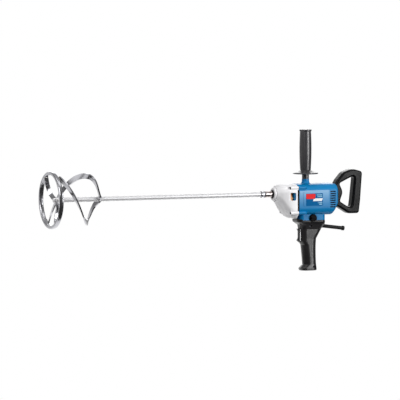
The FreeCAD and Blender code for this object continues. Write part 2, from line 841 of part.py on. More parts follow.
def make_armature_core():
    bore = motor_shaft_radius + shaft_fit
    core = tube_x(armature_radius, bore, armature_core_x, armature_core_end_x, 0, motor_z)
    slot = block(armature_core_x, armature_core_end_x, armature_radius - slot_depth, armature_radius + 1,
                 -slot_width / 2, slot_width / 2)
    slots = []
    for index in range(armature_slots):
        turned = slot.copy()
        turned.rotate(Vec(0, 0, 0), X_AXIS, 360 * index / armature_slots)
        turned.translate(Vec(0, 0, motor_z))
        slots.append(turned)
    return one_solid(core.cut(slots))


def winding_bell(x_core, direction):
    inner = motor_shaft_radius + shaft_fit
    tip = x_core + direction * winding_length
    return turned_x([
        (x_core, inner), (x_core, winding_radius), (x_core + direction * winding_length * 0.5, winding_radius),
        (tip, winding_radius * winding_tip_share), (tip, inner),
    ], 0, motor_z)


def make_armature_windings():
    return group([winding_bell(armature_core_x, -1), winding_bell(armature_core_end_x, 1)])


def make_commutator():
    end_x = commutator_x + commutator_length
    body = tube_x(commutator_radius, motor_shaft_radius + shaft_fit, commutator_x, end_x, 0, motor_z)
    slit = block(commutator_x + commutator_gap / 2, end_x, commutator_radius - commutator_slit_width * 2,
                 commutator_radius + 1, -commutator_slit_width / 2, commutator_slit_width / 2)
    slits = []
    for index in range(commutator_bars):
        turned = slit.copy()
        turned.rotate(Vec(0, 0, 0), X_AXIS, 360 * (index + 0.5) / commutator_bars)
        turned.translate(Vec(0, 0, motor_z))
        slits.append(turned)
    return one_solid(body.cut(slits))


def make_fan():
    hub = bar_x(fan_hub_radius, fan_x, fan_end_x, 0, motor_z)
    disc = bar_x(fan_radius, fan_x, fan_x + fan_disc_thickness, 0, motor_z)
    band = tube_x(fan_radius, fan_radius - fan_band_thickness, fan_x, fan_x + fan_band_width, 0, motor_z)
    blades = []
    for index in range(fan_blades):
        blade = block(fan_x, fan_end_x, fan_blade_root_radius, fan_radius * 2,
                      -fan_blade_thickness / 2, fan_blade_thickness / 2)
        blade.rotate(Vec(0, fan_blade_root_radius, 0), X_AXIS, fan_blade_lean)
        blade.rotate(Vec(0, 0, 0), X_AXIS, 360 * index / fan_blades)
        blade.translate(Vec(0, 0, motor_z))
        blades.append(blade.common(bar_x(fan_radius, fan_x, fan_end_x, 0, motor_z)))
    bore = bar_x(motor_shaft_radius + shaft_fit, fan_x, fan_end_x, 0, motor_z)
    return one_solid(hub.fuse([disc, band] + blades).cut(bore))


def make_armature_front_bearing():
    return ball_bearing(front_motor_bearing_radius, motor_shaft_radius + running_fit,
                        gear_plate_x, gear_plate_end_x, 0, motor_z)


def make_armature_rear_bearing():
    return ball_bearing(rear_motor_bearing_radius, motor_shaft_radius + running_fit,
                        rear_bearing_x, motor_rear_wall_x, 0, motor_z)


def make_stator_core():
    bore = armature_radius + air_gap
    core = tube_x(stator_radius, bore, armature_core_x, armature_core_end_x, 0, motor_z)
    slot = tube_x(stator_window_radius, bore, armature_core_x, armature_core_end_x, 0, motor_z)
    windows = [slot.common(sector(stator_radius * 2, armature_core_x, armature_core_end_x, middle,
                                  stator_window_half_angle)) for middle in (0, 180)]
    return one_solid(core.cut(windows))


def make_field_coils():
    """Upper and lower saddle coils: sides in the stator's windows, end turns in front of and behind it."""
    outer = stator_window_radius - free_gap
    inner = outer - coil_depth
    x0 = armature_core_x - coil_overhang
    x1 = armature_core_end_x + coil_overhang
    reach = stator_radius * 2
    pole_half_angle = 90 - stator_window_half_angle + coil_pole_angle
    coils = []
    for side in (-1, 1):
        saddle = tube_x(outer, inner, x0, x1, 0, motor_z)
        saddle = saddle.common(sector(reach, x0, x1, side * 90, coil_half_angle))
        pole = sector(reach, armature_core_x - end_play, armature_core_end_x + end_play,
                      side * 90, pole_half_angle)
        coils.append(saddle.cut(pole))
    return group(coils)


def brush_box(y0, y1, grow):
    half_x = brush_width / 2 + grow
    half_z = brush_height / 2 + grow
    return block(brush_x - half_x, brush_x + half_x, y0, y1, motor_z - half_z, motor_z + half_z)


def make_carbon_brushes():
    brush = brush_box(0, commutator_radius + brush_length, 0)
    brush = brush.cut(bar_x(commutator_radius + running_fit, commutator_x - brush_width,
                            commutator_x + commutator_length + brush_width, 0, motor_z))
    return group([brush, mirrored(brush)])


def make_brush_holders():
    inner_y = commutator_radius + brush_holder_wall
    outer_y = motor_half_width - motor_wall
    holder = brush_box(inner_y, outer_y, brush_holder_wall).cut(brush_box(inner_y, outer_y, seat_fit))
    return group([holder, mirrored(holder)])


# Motor housing

def motor_section(x, inset):
    return section_x(x, motor_half_width - inset, motor_top_z - inset, motor_bottom_z + inset,
                     motor_corner - inset)


def edges_at(shape, test):
    """Edges of a shape whose end points all pass a test."""
    return [edge for edge in shape.Edges if all(test(vertex.Point) for vertex in edge.Vertexes)]


def handle_boss():
    foot = handle_boss_radius + handle_boss_flare
    return turned_z([
        (0, motor_top_z - handle_boss_root), (foot, motor_top_z - handle_boss_root),
        (handle_boss_radius + handle_boss_step, motor_top_z + handle_boss_step),
        (handle_boss_radius, motor_top_z + handle_boss_flare), (handle_boss_radius, handle_boss_top_z),
        (0, handle_boss_top_z),
    ], handle_x)


slant_top = Vec(motor_rear_x, 0, rear_slant_top_z)
slant_along = Vec(-rear_slant_run, 0, motor_bottom_z - rear_slant_top_z)
slant_out = Vec(-slant_along.z, 0, slant_along.x)
slant_out.normalize()


def rear_slant(inset):
    """Wedge behind the sloping lower rear of the motor housing, moved inwards by inset."""
    start = slant_top - slant_along - slant_out * inset
    end = slant_top + slant_along * 2 - slant_out * inset
    reach = motor_half_width * 2
    points = [start, end, end + slant_out * reach, start + slant_out * reach]
    wedge = Part.Face(Part.makePolygon(points + [start]))
    wedge.translate(Vec(0, -reach, 0))
    return wedge.extrude(Vec(0, reach * 2, 0))


def trunk(height, grow):
    """Neck between the motor housing and the grip, up to a height above the split."""
    half_width, corner = collar_stations[0][3:]
    wire = section_z(trunk_split_z, motor_front_x + trunk_setback - grow, motor_front_x + trunk_rear + grow,
                     half_width + grow, corner + grow)
    return Part.Face(wire).extrude(Vec(0, 0, height))


def screw_rib(y, z):
    """Screw boss along the front of the motor housing, with a tapered end."""
    end_x = motor_front_x + screw_rib_length
    return turned_x([
        (motor_front_x, 0), (motor_front_x, screw_boss_radius), (end_x - screw_rib_nose, screw_boss_radius),
        (end_x, screw_boss_radius / 2), (end_x, 0),
    ], y, z)


def rear_edges(shape):
    """Edges round the rear face and round the slope below it."""
    found = []
    for edge in shape.Edges:
        middle = edge.valueAt((edge.FirstParameter + edge.LastParameter) / 2)
        points = [vertex.Point for vertex in edge.Vertexes] + [middle]
        on_rear = all(abs(point.x - motor_rear_x) < touching for point in points)
        on_slant = all(abs((point - slant_top).dot(slant_out)) < touching for point in points)
        if on_rear or on_slant:
            found.append(edge)
    return found


def make_motor_housing():
    outer = prism_x(motor_section(motor_front_x, 0), motor_housing_length).cut(rear_slant(0))
    outer = outer.makeFillet(motor_rear_bevel, rear_edges(outer))
    neck = trunk(motor_bottom_z + motor_corner / 2 - trunk_split_z, 0)
    panel_x = motor_front_x + side_panel_setback
    panel_end_x = motor_rear_x - side_panel_rear_gap
    panel_low_z = side_panel_top_z - side_panel_height
    panel = slab_y([(panel_x, panel_low_z, side_panel_corner), (panel_end_x, panel_low_z, side_panel_corner),
                    (panel_end_x, side_panel_top_z, side_panel_corner),
                    (panel_x, side_panel_top_z, side_panel_corner)],
                   -motor_half_width - side_panel_rise, -motor_half_width + motor_wall * 2)
    outer = outer.fuse([neck, handle_boss(), panel, mirrored(panel)])
    cavity = prism_x(motor_section(motor_front_x, motor_wall), motor_rear_wall_x - motor_front_x)
    cavity = cavity.cut(rear_slant(motor_wall))
    body = outer.cut(cavity)

    stator_room = bar_x(stator_radius + seat_fit, armature_core_x, armature_core_end_x, 0, motor_z)
    reach = motor_half_width * 2
    half_rib = rib_thickness / 2
    upright = block(armature_core_x, armature_core_end_x, -half_rib, half_rib, motor_z - reach, motor_z + reach)
    level = block(armature_core_x, armature_core_end_x, -reach, reach, motor_z - half_rib, motor_z + half_rib)
    ribs = upright.fuse(level).common(cavity).cut(stator_room)
    screw_ribs = [screw_rib(y, z) for y, z in housing_screw_places()]
    bearing_boss = bar_x(rear_motor_bearing_radius + motor_wall, rear_bearing_x, motor_rear_wall_x, 0, motor_z)
    inset = housing_wall + seat_fit * 3
    spigot = prism_x(housing_section(baffle_end_x, inset), motor_front_x + motor_wall - baffle_end_x)
    spigot = spigot.cut(prism_x(housing_section(baffle_end_x, inset + spigot_wall),
                                motor_front_x + motor_wall - baffle_end_x))
    spigot = spigot.cut(screw_boss_room(baffle_end_x, motor_front_x))
    body = body.fuse(ribs.Solids + screw_ribs + [bearing_boss] + spigot.Solids)

    cuts = [
        bar_x(rear_motor_bearing_radius + shaft_fit, rear_bearing_x, motor_rear_wall_x, 0, motor_z),
        bar_z(handle_stud_radius + shaft_fit, handle_stud_bottom_z, handle_boss_top_z, handle_x),
        bar_y(knob_radius + free_gap, -reach, knob_face_y, knob_x, knob_z),
        bar_y(knob_shaft_radius + running_fit, knob_face_y, knob_face_y + knob_shaft_length + end_play,
              knob_x, knob_z),
    ]
    for y, z in housing_screw_places():
        cuts.append(bar_x(housing_screw_radius + shaft_fit, motor_front_x,
                          seam_x + housing_screw_grip + end_play, y, z))
    vent_x = motor_rear_x - vent_setback
    for index in range(vent_count):
        middle_z = vent_middle_z + (index - (vent_count - 1) / 2) * vent_pitch
        low_z = middle_z - vent_height / 2
        high_z = middle_z + vent_height / 2
        cuts.append(block(vent_x, vent_x + vent_length, -reach, 0, low_z, high_z))
        cuts.append(block(vent_x, vent_x + vent_length, 0, reach, low_z, high_z))
    cuts += seam_pads(-housing_wall, seat_fit).Solids
    return one_solid(body.cut(cuts))


def make_seam_gasket():
    ring = prism_x(housing_section(seam_x, gasket_inset), seam_gap)
    inner = prism_x(housing_section(seam_x, housing_wall), seam_gap)
    ear_radius = screw_boss_radius - gasket_inset
    hole_radius = housing_screw_radius + seat_fit
    ears = [bar_x(ear_radius, seam_x, motor_front_x, y, z) for y, z in housing_screw_places()]
    holes = [bar_x(hole_radius, seam_x, motor_front_x, y, z) for y, z in housing_screw_places()]
    return one_solid(ring.cut(inner).fuse(ears + seam_pads(gasket_inset, 0).Solids).cut(holes))


# Pistol grip, trigger and switch

def grip_loft(stations, ruled):
    wires = [section_z(trunk_split_z - drop, motor_front_x + front, motor_front_x + rear, half_width, corner)
             for drop, front, rear, half_width, corner in stations]
    return Part.makeLoft(wires, True, ruled)


def grip_half_width(drop):
    stations = collar_stations + grip_stations + haft_stations + foot_stations
    for low, high in zip(stations, stations[1:]):
        if drop <= high[0]:
            break
    share = (drop - low[0]) / (high[0] - low[0])
    return low[3] + (high[3] - low[3]) * share


knob_face_y = -collar_stations[0][3] - free_gap
guard_root = Vec(motor_front_x + guard_setback, 0, trunk_split_z - guard_drop)


def along_guard(shape):
    """Moves a shape made along +X from the origin onto the cord guard's axis."""
    placed = shape.copy()
    placed.rotate(Vec(0, 0, 0), Y_AXIS, guard_slant)
    placed.translate(guard_root)
    return placed


def grip_screw_seats():
    seats = []
    for setback, drop in grip_screw_places:
        y = grip_screw_sink + grip_screw_head_height - grip_half_width(drop)
        seats.append(Vec(motor_front_x + setback, y, trunk_split_z - drop))
    return seats


def trigger_pocket():
    return block(trigger_x, switch_x, -trigger_half_width - free_gap, trigger_half_width + free_gap,
                 trigger_heel_z - free_gap, trigger_top_z + free_gap)


def switch_box(grow):
    middle_z = (trigger_top_z + trigger_bottom_z) / 2
    half_height = switch_height / 2 + grow
    return block(switch_x, switch_x + switch_length + grow, -switch_half_width - grow, switch_half_width + grow,
                 middle_z - half_height, middle_z + half_height)


def clamp_box(grow):
    end_x = guard_root.x - clamp_gap + grow
    return block(end_x - clamp_length - grow * 2, end_x, -clamp_half_width - grow, clamp_half_width + grow,
                 guard_root.z - clamp_height / 2 - grow, guard_root.z + clamp_height / 2 + grow)


def collar_lip():
    """Raised front edge of the collar, in front of the neck of the motor housing."""
    front, rear, half_width, corner = collar_stations[0][1:]
    wire = section_z(trunk_split_z, motor_front_x + front, motor_front_x + rear, half_width, corner)
    return Part.Face(wire).extrude(Vec(0, 0, collar_lip_height)).cut(trunk(collar_lip_height, free_gap))


def grip_body():
    collar = grip_loft(collar_stations + grip_stations, True)
    haft = grip_loft(grip_stations[-1:] + haft_stations, False)
    foot = grip_loft(haft_stations[-1:] + foot_stations, True)
    low_z = trunk_split_z - foot_stations[-1][0]
    foot = foot.makeFillet(grip_foot_round, edges_at(foot, lambda point: point.z < low_z + touching))
    body = collar.fuse([haft, foot] + collar_lip().Solids)
    cuts = [trigger_pocket(), switch_box(seat_fit), clamp_box(seat_fit)]
    cuts.append(along_guard(bar_x(guard_radius + seat_fit, 0, guard_length)))
    cuts.append(along_guard(bar_x(guard_flange_radius + seat_fit, -seat_fit, guard_flange_length + seat_fit)))
    for seat in grip_screw_seats():
        cuts.append(bar_y(grip_screw_head_radius + seat_fit, -motor_half_width, seat.y, seat.x, seat.z))
        cuts.append(bar_y(grip_screw_radius + seat_fit, seat.y, -seat.y, seat.x, seat.z))
    return body.cut(cuts)


def make_grip_left():
    return one_solid(left_half(grip_body()))


def make_grip_right():
    return one_solid(right_half(grip_body()))


def make_grip_screws():
    return group([cap_screw(seat, Y_AXIS, grip_screw_radius, grip_screw_head_radius, grip_screw_head_height,
                            -2 * seat.y - end_play) for seat in grip_screw_seats()])


def make_trigger():
    middle_z = (trigger_top_z + trigger_bottom_z) / 2
    front = Part.Arc(Vec(trigger_x, 0, trigger_top_z), Vec(trigger_x + trigger_hollow, 0, middle_z),
                     Vec(trigger_x, 0, trigger_bottom_z)).toShape()
    points = [Vec(trigger_x, 0, trigger_bottom_z), Vec(trigger_x + trigger_heel_run, 0, trigger_heel_z),
              Vec(trigger_rear_x, 0, trigger_heel_z), Vec(trigger_rear_x, 0, trigger_top_z),
              Vec(trigger_x, 0, trigger_top_z)]
    edges = [front] + [Part.LineSegment(a, b).toShape() for a, b in zip(points, points[1:])]
    face = Part.Face(Part.Wire(Part.__sortEdges__(edges)))
    face.translate(Vec(0, -trigger_half_width, 0))
    lever = face.extrude(Vec(0, trigger_half_width * 2, 0))
    rounded = edges_at(lever, lambda point: point.x < trigger_x + touching)
    sides = [edge for edge in rounded if edge.Length > trigger_height]
    return one_solid(lever.makeFillet(trigger_corner, sides))


def make_trigger_plunger():
    middle_z = (trigger_top_z + trigger_bottom_z) / 2
    return one_solid(bar_x(plunger_radius, trigger_rear_x, trigger_rear_x + plunger_length, 0, middle_z))


def make_switch_module():
    middle_z = (trigger_top_z + trigger_bottom_z) / 2
    bore_end_x = trigger_rear_x + plunger_length + trigger_travel + end_play
    bore = bar_x(plunger_radius + free_gap, switch_x, bore_end_x, 0, middle_z)
    return one_solid(switch_box(0).cut(bore))


def make_reversing_knob():
    disc = bar_y(knob_radius, knob_face_y - knob_thickness, knob_face_y, knob_x, knob_z)
    front_edge = edges_at(disc, lambda point: point.y < knob_face_y - knob_thickness + touching)
    disc = disc.makeFillet(knob_round, front_edge)
    shaft = bar_y(knob_shaft_radius, knob_face_y, knob_face_y + knob_shaft_length, knob_x, knob_z)
    bar_y0 = knob_face_y - knob_thickness - knob_bar_height
    bar = block(knob_x - knob_bar_length / 2, knob_x + knob_bar_length / 2, bar_y0, knob_face_y,
                knob_z - knob_bar_width / 2, knob_z + knob_bar_width / 2)
    return one_solid(disc.fuse([shaft, bar]))


# Side handle

def make_side_handle_grip():
    bore = handle_stud_radius + shaft_fit
    plug_bottom_z = handle_cap_bottom_z - handle_cap_plug_depth
    shoulder_z = handle_guard_top_z + handle_guard_rim
    points = [
        (handle_grip_top_radius, handle_cap_bottom_z), (handle_cap_plug_radius, handle_cap_bottom_z),
        (handle_cap_plug_radius, plug_bottom_z), (0, plug_bottom_z), (0, handle_stud_top_z + end_play),
        (bore, handle_stud_top_z + end_play), (bore, handle_boss_top_z),
        (handle_neck_radius, handle_boss_top_z),
        (handle_neck_radius, handle_guard_bottom_z - handle_guard_rim / 2),
        (handle_guard_radius - handle_guard_bevel, handle_guard_bottom_z),
        (handle_guard_radius, handle_guard_bottom_z + handle_guard_bevel),
        (handle_guard_radius, handle_guard_bottom_z + handle_guard_rim - handle_guard_bevel),
        (handle_guard_radius - handle_guard_bevel, handle_guard_bottom_z + handle_guard_rim),
        (handle_grip_low_radius + handle_guard_rim * 2, handle_guard_top_z),
        (handle_grip_low_radius, shoulder_z),
    ]
    places = [Vec(handle_x + radius, 0, z) for radius, z in points]
    belly = Vec(handle_x + handle_grip_belly_radius, 0, handle_grip_belly_z)
    edges = [Part.LineSegment(a, b).toShape() for a, b in zip(places, places[1:])]
    edges.append(Part.Arc(places[-1], belly, places[0]).toShape())
    face = Part.Face(Part.Wire(edges))
    return one_solid(face.revolve(Vec(handle_x, 0, 0), Z_AXIS, 360))


def make_side_handle_stud():
    return one_solid(bar_z(handle_stud_radius, handle_stud_bottom_z, handle_stud_top_z, handle_x))


def make_side_handle_cap():
    plug_bottom_z = handle_cap_bottom_z - handle_cap_plug_depth + end_play
    plug = bar_z(handle_cap_plug_radius - shaft_fit, plug_bottom_z, handle_cap_bottom_z, handle_x)
    cap = bar_z(handle_cap_radius, handle_cap_bottom_z, handle_cap_top_z, handle_x)
    cap = cap.makeFillet(handle_cap_round, [edge for edge in cap.Edges if len(edge.Vertexes) == 1])
    return one_solid(cap.fuse(plug))


# D-handle

def d_handle_half():
    """Right half of the D-handle with rounded outer edges, before the screw holes."""
    outer = [(motor_rear_x + back, z, radius) for back, z, radius in d_outer_corners]
    inner = [(motor_rear_x + back, z, radius) for back, z, radius in d_inner_corners]
    ring = slab_y(outer, 0, d_half_width).cut(slab_y(inner, 0, d_half_width))
    side = edges_at(ring, lambda point: point.y > d_half_width - touching)
    return ring.makeFillet(d_edge_round, side)


def d_screw_seats():
    seat_y = d_half_width - d_screw_sink - d_screw_head_height
    return [Vec(motor_rear_x + back, seat_y, z) for back, z in d_screw_places]


def d_screw_room():
    room = []
    for seat in d_screw_seats():
        room.append(bar_y(d_screw_head_radius + seat_fit, seat.y, 2 * d_half_width, seat.x, seat.z))
        room.append(bar_y(d_screw_radius + seat_fit, -seat.y, seat.y, seat.x, seat.z))
    return room


def make_d_handle_left():
    return one_solid(mirrored(d_handle_half()).cut(d_screw_room()))


def make_d_handle_right():
    return one_solid(d_handle_half().cut(d_screw_room()))


def make_d_handle_screws():
    return group([cap_screw(seat, Y_AXIS * -1, d_screw_radius, d_screw_head_radius, d_screw_head_height,
                            2 * seat.y - end_play) for seat in d_screw_seats()])


# Cord guard

def make_cord_guard():
    bead_x = guard_length - guard_bead_length
    swell = guard_bead_radius - guard_radius
    profile = turned_x([
        (0, guard_bore_radius), (0, guard_flange_radius), (guard_flange_length, guard_flange_radius),
        (guard_flange_length, guard_radius), (bead_x, guard_radius), (bead_x + swell, guard_bead_radius),
        (guard_length - swell / 2, guard_bead_radius), (guard_length, guard_bead_radius - swell / 2),
        (guard_length, guard_bore_radius),
    ])
    return one_solid(along_guard(profile))


def make_cord_clamp():
    return one_solid(clamp_box(0))


# Mixing rod and paddle

def make_rod_collar():
    collar = tube_x(rod_collar_radius, rod_radius + shaft_fit, rod_shoulder_x, rod_collar_x)
    rims = [edge for edge in collar.Edges if abs(edge.Length - 2 * math.pi * rod_collar_radius) < touching]
    return one_solid(collar.makeChamfer(rod_collar_gap, rims))


def make_mixing_rod():
    inner_x = spindle_socket_depth - spindle_nose_length - end_play
    rod = bar_x(rod_radius, rod_tip_x, inner_x)
    tip = edges_at(rod, lambda point: point.x < rod_tip_x + touching)
    return one_solid(rod.makeFillet(rod_tip_round, [edge for edge in tip if len(edge.Vertexes) == 1]))


def make_paddle_ring():
    x0 = ring_middle_x - ring_width / 2
    ring = tube_x(ring_radius, ring_radius - ring_thickness, x0, ring_rear_x)
    rims = [edge for edge in ring.Edges if len(edge.Vertexes) == 1]
    return one_solid(ring.makeFillet(ring_edge_round, rims))


def radial(angle):
    """Unit vector across the axis; the angle runs from +Z towards the left side, in degrees."""
    turn = math.radians(angle)
    return Vec(0, -math.sin(turn), math.cos(turn))


def quad(middle, wide, width, deep, depth):
    corners = [middle + wide * (a * width / 2) + deep * (b * depth / 2)
               for a, b in ((-1, -1), (1, -1), (1, 1), (-1, 1))]
    return Part.makePolygon(corners + [corners[0]])


def ribbon_centre(turn):
    """Distance from the axis of the ribbon's middle, and its change per radian, after a turn in degrees."""
    start = ring_radius - ribbon_width / 2
    slope = ribbon_taper / math.radians(ribbon_helix_turn)
    if turn <= ribbon_helix_turn:
        return start - slope * math.radians(turn), -slope
    share = (turn - ribbon_helix_turn) / ribbon_curl_turn
    end = start - ribbon_taper
    fall = math.pi / 2 / math.radians(ribbon_curl_turn)
    return end * math.cos(share * math.pi / 2), -end * fall * math.sin(share * math.pi / 2)


def helical_ribbon(start_angle):
    """Flat flight that winds back from the ring and curls inwards to the rod."""
    whole_turn = ribbon_helix_turn + ribbon_curl_turn
    wires = []
    for index in range(ribbon_sections + 1):
        turn = whole_turn * index / ribbon_sections
        distance, change = ribbon_centre(turn)
        outward = radial(start_angle + turn)
        around = radial(start_angle + turn + 90)
        wide = outward * distance - around * change
        wide.normalize()
        middle = outward * distance + X_AXIS * (ring_rear_x + ribbon_thickness / 2 + ribbon_pitch * turn / 360)
        wires.append(quad(middle, wide, ribbon_width, X_AXIS, ribbon_thickness))
    flight = Part.makeLoft(wires, True)
    return one_solid(flight.cut(make_mixing_rod()))


def make_ribbon_a():
    return helical_ribbon(ribbon_start_angle)


def make_ribbon_b():
    return helical_ribbon(ribbon_start_angle + 180)


def twisted_spoke(turn):
    """S-curved strip from the rod to the ring, twisting along its length."""
    rim_distance = ring_radius - ring_thickness / 2
    swing = spoke_rim_angle - spoke_hub_angle
    hub_x = rod_tip_x + spoke_hub_setback
    wires = []
    for index in range(spoke_sections + 1):
        share = index / spoke_sections
        ease = share * share * (3 - 2 * share)
        distance = rim_distance * share
        angle = spoke_hub_angle + turn + swing * ease
        outward = radial(angle)
        around = radial(angle + 90)
        bend = math.radians(swing) * 6 * share * (1 - share) * share
        along = outward + around * bend
        along.normalize()
        across = X_AXIS.cross(along)
        twist = math.radians(spoke_twist * (1 - ease))
        wide = X_AXIS * math.cos(twist) + across * math.sin(twist)
        deep = across * math.cos(twist) - X_AXIS * math.sin(twist)
        middle = outward * distance + X_AXIS * (hub_x + (ring_middle_x - hub_x) * ease)
        wires.append(quad(middle, wide, spoke_width, deep, spoke_thickness))
    strip = Part.makeLoft(wires, True)
    return one_solid(strip.cut([make_mixing_rod(), make_paddle_ring()]))


def make_spoke_a():
    return twisted_spoke(0)


def make_spoke_b():
    return twisted_spoke(180)


MAKERS = [
    make_gear_housing, make_gear_plate, make_gear_plate_screws, make_housing_screws, make_seam_gasket,
    make_nose_seal, make_spindle_front_bearing, make_spindle_rear_bush, make_spindle, make_spindle_key,
    make_spindle_circlip, make_spindle_gear, make_countershaft, make_counter_gear, make_counter_front_bush,
    make_counter_rear_bush, make_fan_baffle, make_armature_shaft, make_armature_core, make_armature_windings,
    make_commutator, make_fan, make_armature_front_bearing, make_armature_rear_bearing, make_stator_core,
    make_field_coils, make_carbon_brushes, make_brush_holders, make_motor_housing, make_grip_left,
    make_grip_right, make_grip_screws, make_trigger, make_trigger_plunger, make_switch_module,
    make_reversing_knob, make_side_handle_grip, make_side_handle_stud, make_side_handle_cap,
    make_d_handle_left, make_d_handle_right, make_d_handle_screws, make_cord_guard, make_cord_clamp,
    make_rod_collar, make_mixing_rod, make_paddle_ring, make_ribbon_a, make_ribbon_b,
    make_spoke_a, make_spoke_b,
]


def main():
    os.makedirs("parts", exist_ok=True)
    for maker in MAKERS:
        node = maker.__name__.replace("make_", "", 1)
        maker().exportStep("parts/%s.step" % node)


main()
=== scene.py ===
import bmesh
import bpy
import json
import math
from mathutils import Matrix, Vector


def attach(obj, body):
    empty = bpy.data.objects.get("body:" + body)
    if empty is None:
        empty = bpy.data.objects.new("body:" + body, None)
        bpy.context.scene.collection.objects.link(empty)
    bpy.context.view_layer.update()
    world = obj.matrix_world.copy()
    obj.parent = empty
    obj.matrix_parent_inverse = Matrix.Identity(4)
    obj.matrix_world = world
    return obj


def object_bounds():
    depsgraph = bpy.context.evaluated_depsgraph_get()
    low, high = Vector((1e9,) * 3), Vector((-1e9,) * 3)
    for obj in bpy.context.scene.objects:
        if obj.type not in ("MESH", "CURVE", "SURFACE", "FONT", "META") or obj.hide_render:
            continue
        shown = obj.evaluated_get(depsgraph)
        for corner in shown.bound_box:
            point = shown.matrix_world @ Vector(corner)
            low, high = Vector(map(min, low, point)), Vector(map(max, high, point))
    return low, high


# Hand-held electric mixing drill with a helical ring paddle, dressed for a plain studio.
# Metres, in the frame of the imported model: +X to the rear, +Z up, -Y the left side.

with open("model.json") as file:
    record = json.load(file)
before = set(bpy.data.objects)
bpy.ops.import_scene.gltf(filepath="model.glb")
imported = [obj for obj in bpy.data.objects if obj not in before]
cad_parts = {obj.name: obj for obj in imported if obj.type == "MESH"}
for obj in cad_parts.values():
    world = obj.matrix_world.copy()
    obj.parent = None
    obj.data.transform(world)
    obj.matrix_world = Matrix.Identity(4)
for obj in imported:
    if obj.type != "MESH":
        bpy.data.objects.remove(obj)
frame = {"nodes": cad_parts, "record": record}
cad_low, cad_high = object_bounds()
MM = 0.001

# Camera, placed so that the nose of the gear housing lands on its pixel
CAMERA_AZIMUTH = -23.5
CAMERA_ELEVATION = 3.7
CAMERA_CLIP = 100.0
FRAME_PIXELS = 400
LENS_PIXELS = 6000
SENSOR_MM = 36.0
PIXELS_PER_METRE = 356.0
NOSE_POINT = Vector((9.0, 0.0, 0.0)) * MM
NOSE_PIXEL = (272.5, 194.2)

# Lamps: name, place, the point they face, width and height, watts
DRILL_MIDDLE = (0.0, 0.0, -0.05)
PADDLE_MIDDLE = (-0.6, 0.0, 0.03)
LAMPS = (
    ("left_light", (-1.9, -1.6, 1.4), DRILL_MIDDLE, (1.2, 1.4), 34.0),
    ("right_light", (1.6, -2.3, 0.45), DRILL_MIDDLE, (0.7, 1.7), 60.0),
    ("top_light", (-0.3, -0.4, 2.6), DRILL_MIDDLE, (2.4, 1.0), 12.0),
    ("rear_light", (0.9, 2.4, 1.0), DRILL_MIDDLE, (1.8, 1.6), 24.0),
    ("paddle_card", (-1.3, 0.2, 0.12), PADDLE_MIDDLE, (0.5, 0.5), 1.2),
)

# Room: it brightens behind the drill and above it, over bands of the direction's Y and Z
BEHIND_BAND = (0.6, 0.92)
ABOVE_BAND = (0.45, 0.8)
ABOVE_BRIGHT = 0.6
ROOM_DARK = 0.05
ROOM_LIGHT = 0.6
CAMERA_RAY = "Is Camera Ray"
VIEWING_RAYS = (CAMERA_RAY, "Is Glossy Ray", "Is Transmission Ray")

# Floor, well below the drill
FLOOR_DROP = 0.8
FLOOR_X = (-2.2, 1.8)
FLOOR_Y = (-0.15, 4.0)
FLOOR_WHITE = 0.85
FLOOR_GLOW = 0.8

# Flat sides of the motor housing with a painted sheen, a painted reflection that is paler towards their top
# and only in front of the vents
PANEL_Y = 40.8 * MM
PANEL_DEPTH = 1.2 * MM
PANEL_Z = (-36.0 * MM, 11.0 * MM)
PANEL_REAR = 166.0 * MM
SHEEN_FADE = 3.0 * MM
SHEEN_EASE = 1.5

# Label on the left flat side: drops run down from its top edge, insets forward from its rear edge
LABEL_X = (94.3 * MM, 145.7 * MM)
LABEL_Z = (-33.0 * MM, 1.7 * MM)
LABEL_RISE = 0.35 * MM
LABEL_CORNER = 1.6 * MM
PRINT_RISE = LABEL_RISE / 2
BLOCK_LENGTH = 28.3 * MM
BLOCK_DROP = (1.0 * MM, 15.2 * MM)
BAR_INSET = (1.5 * MM, 29.0 * MM)
BAR_DROP = (13.8 * MM, 21.6 * MM)
BAR_CORNER = LABEL_CORNER / 3
BAR_LEAN = 0.2
LINE_INSET = 2.0 * MM
LINE_HEIGHT = 2.6 * MM
LINE_CORNER = LABEL_CORNER / 4
LINE_DROPS = (3.2 * MM, 7.8 * MM, 25.0 * MM, 29.4 * MM)
LINE_LENGTHS = (17.0 * MM, 15.0 * MM, 12.0 * MM, 9.0 * MM)
CORNER_STEPS = 6

# Near-black screens behind the rear vents: a dark sheet that paints the shade inside the vents
SCREEN_X = (168.5 * MM, 186.2 * MM)
SCREEN_Z = (-39.5 * MM, 7.5 * MM)
SCREEN_Y = 36.5 * MM
SCREEN_THICKNESS = 0.6 * MM
SCREEN_ROUND = SCREEN_THICKNESS / 4

# Strips at the edges of the trigger opening
BEZEL_X = (90.2 * MM, 92.6 * MM)
BEZEL_Y = (7.7 * MM, 8.7 * MM)
BEZEL_Z = (-133.5 * MM, -100.0 * MM)
BEZEL_ROUND = 0.35 * MM
EDGE_SEGMENTS = 3
EDGE_PROFILE = 0.5

# Retaining rings of the rod collar: the shares are of half their width
COLLAR_RINGS = (-26.4 * MM, -17.6 * MM)
COLLAR_RADIUS = 8.75 * MM
COLLAR_RING_WIDTH = 1.6 * MM
COLLAR_RING_RISE = 0.3 * MM
COLLAR_RING_DEPTH = 0.6 * MM
COLLAR_RING_FLAT = 0.66
COLLAR_RING_BEVEL = 1 / 3
COLLAR_RING_STEPS = 64

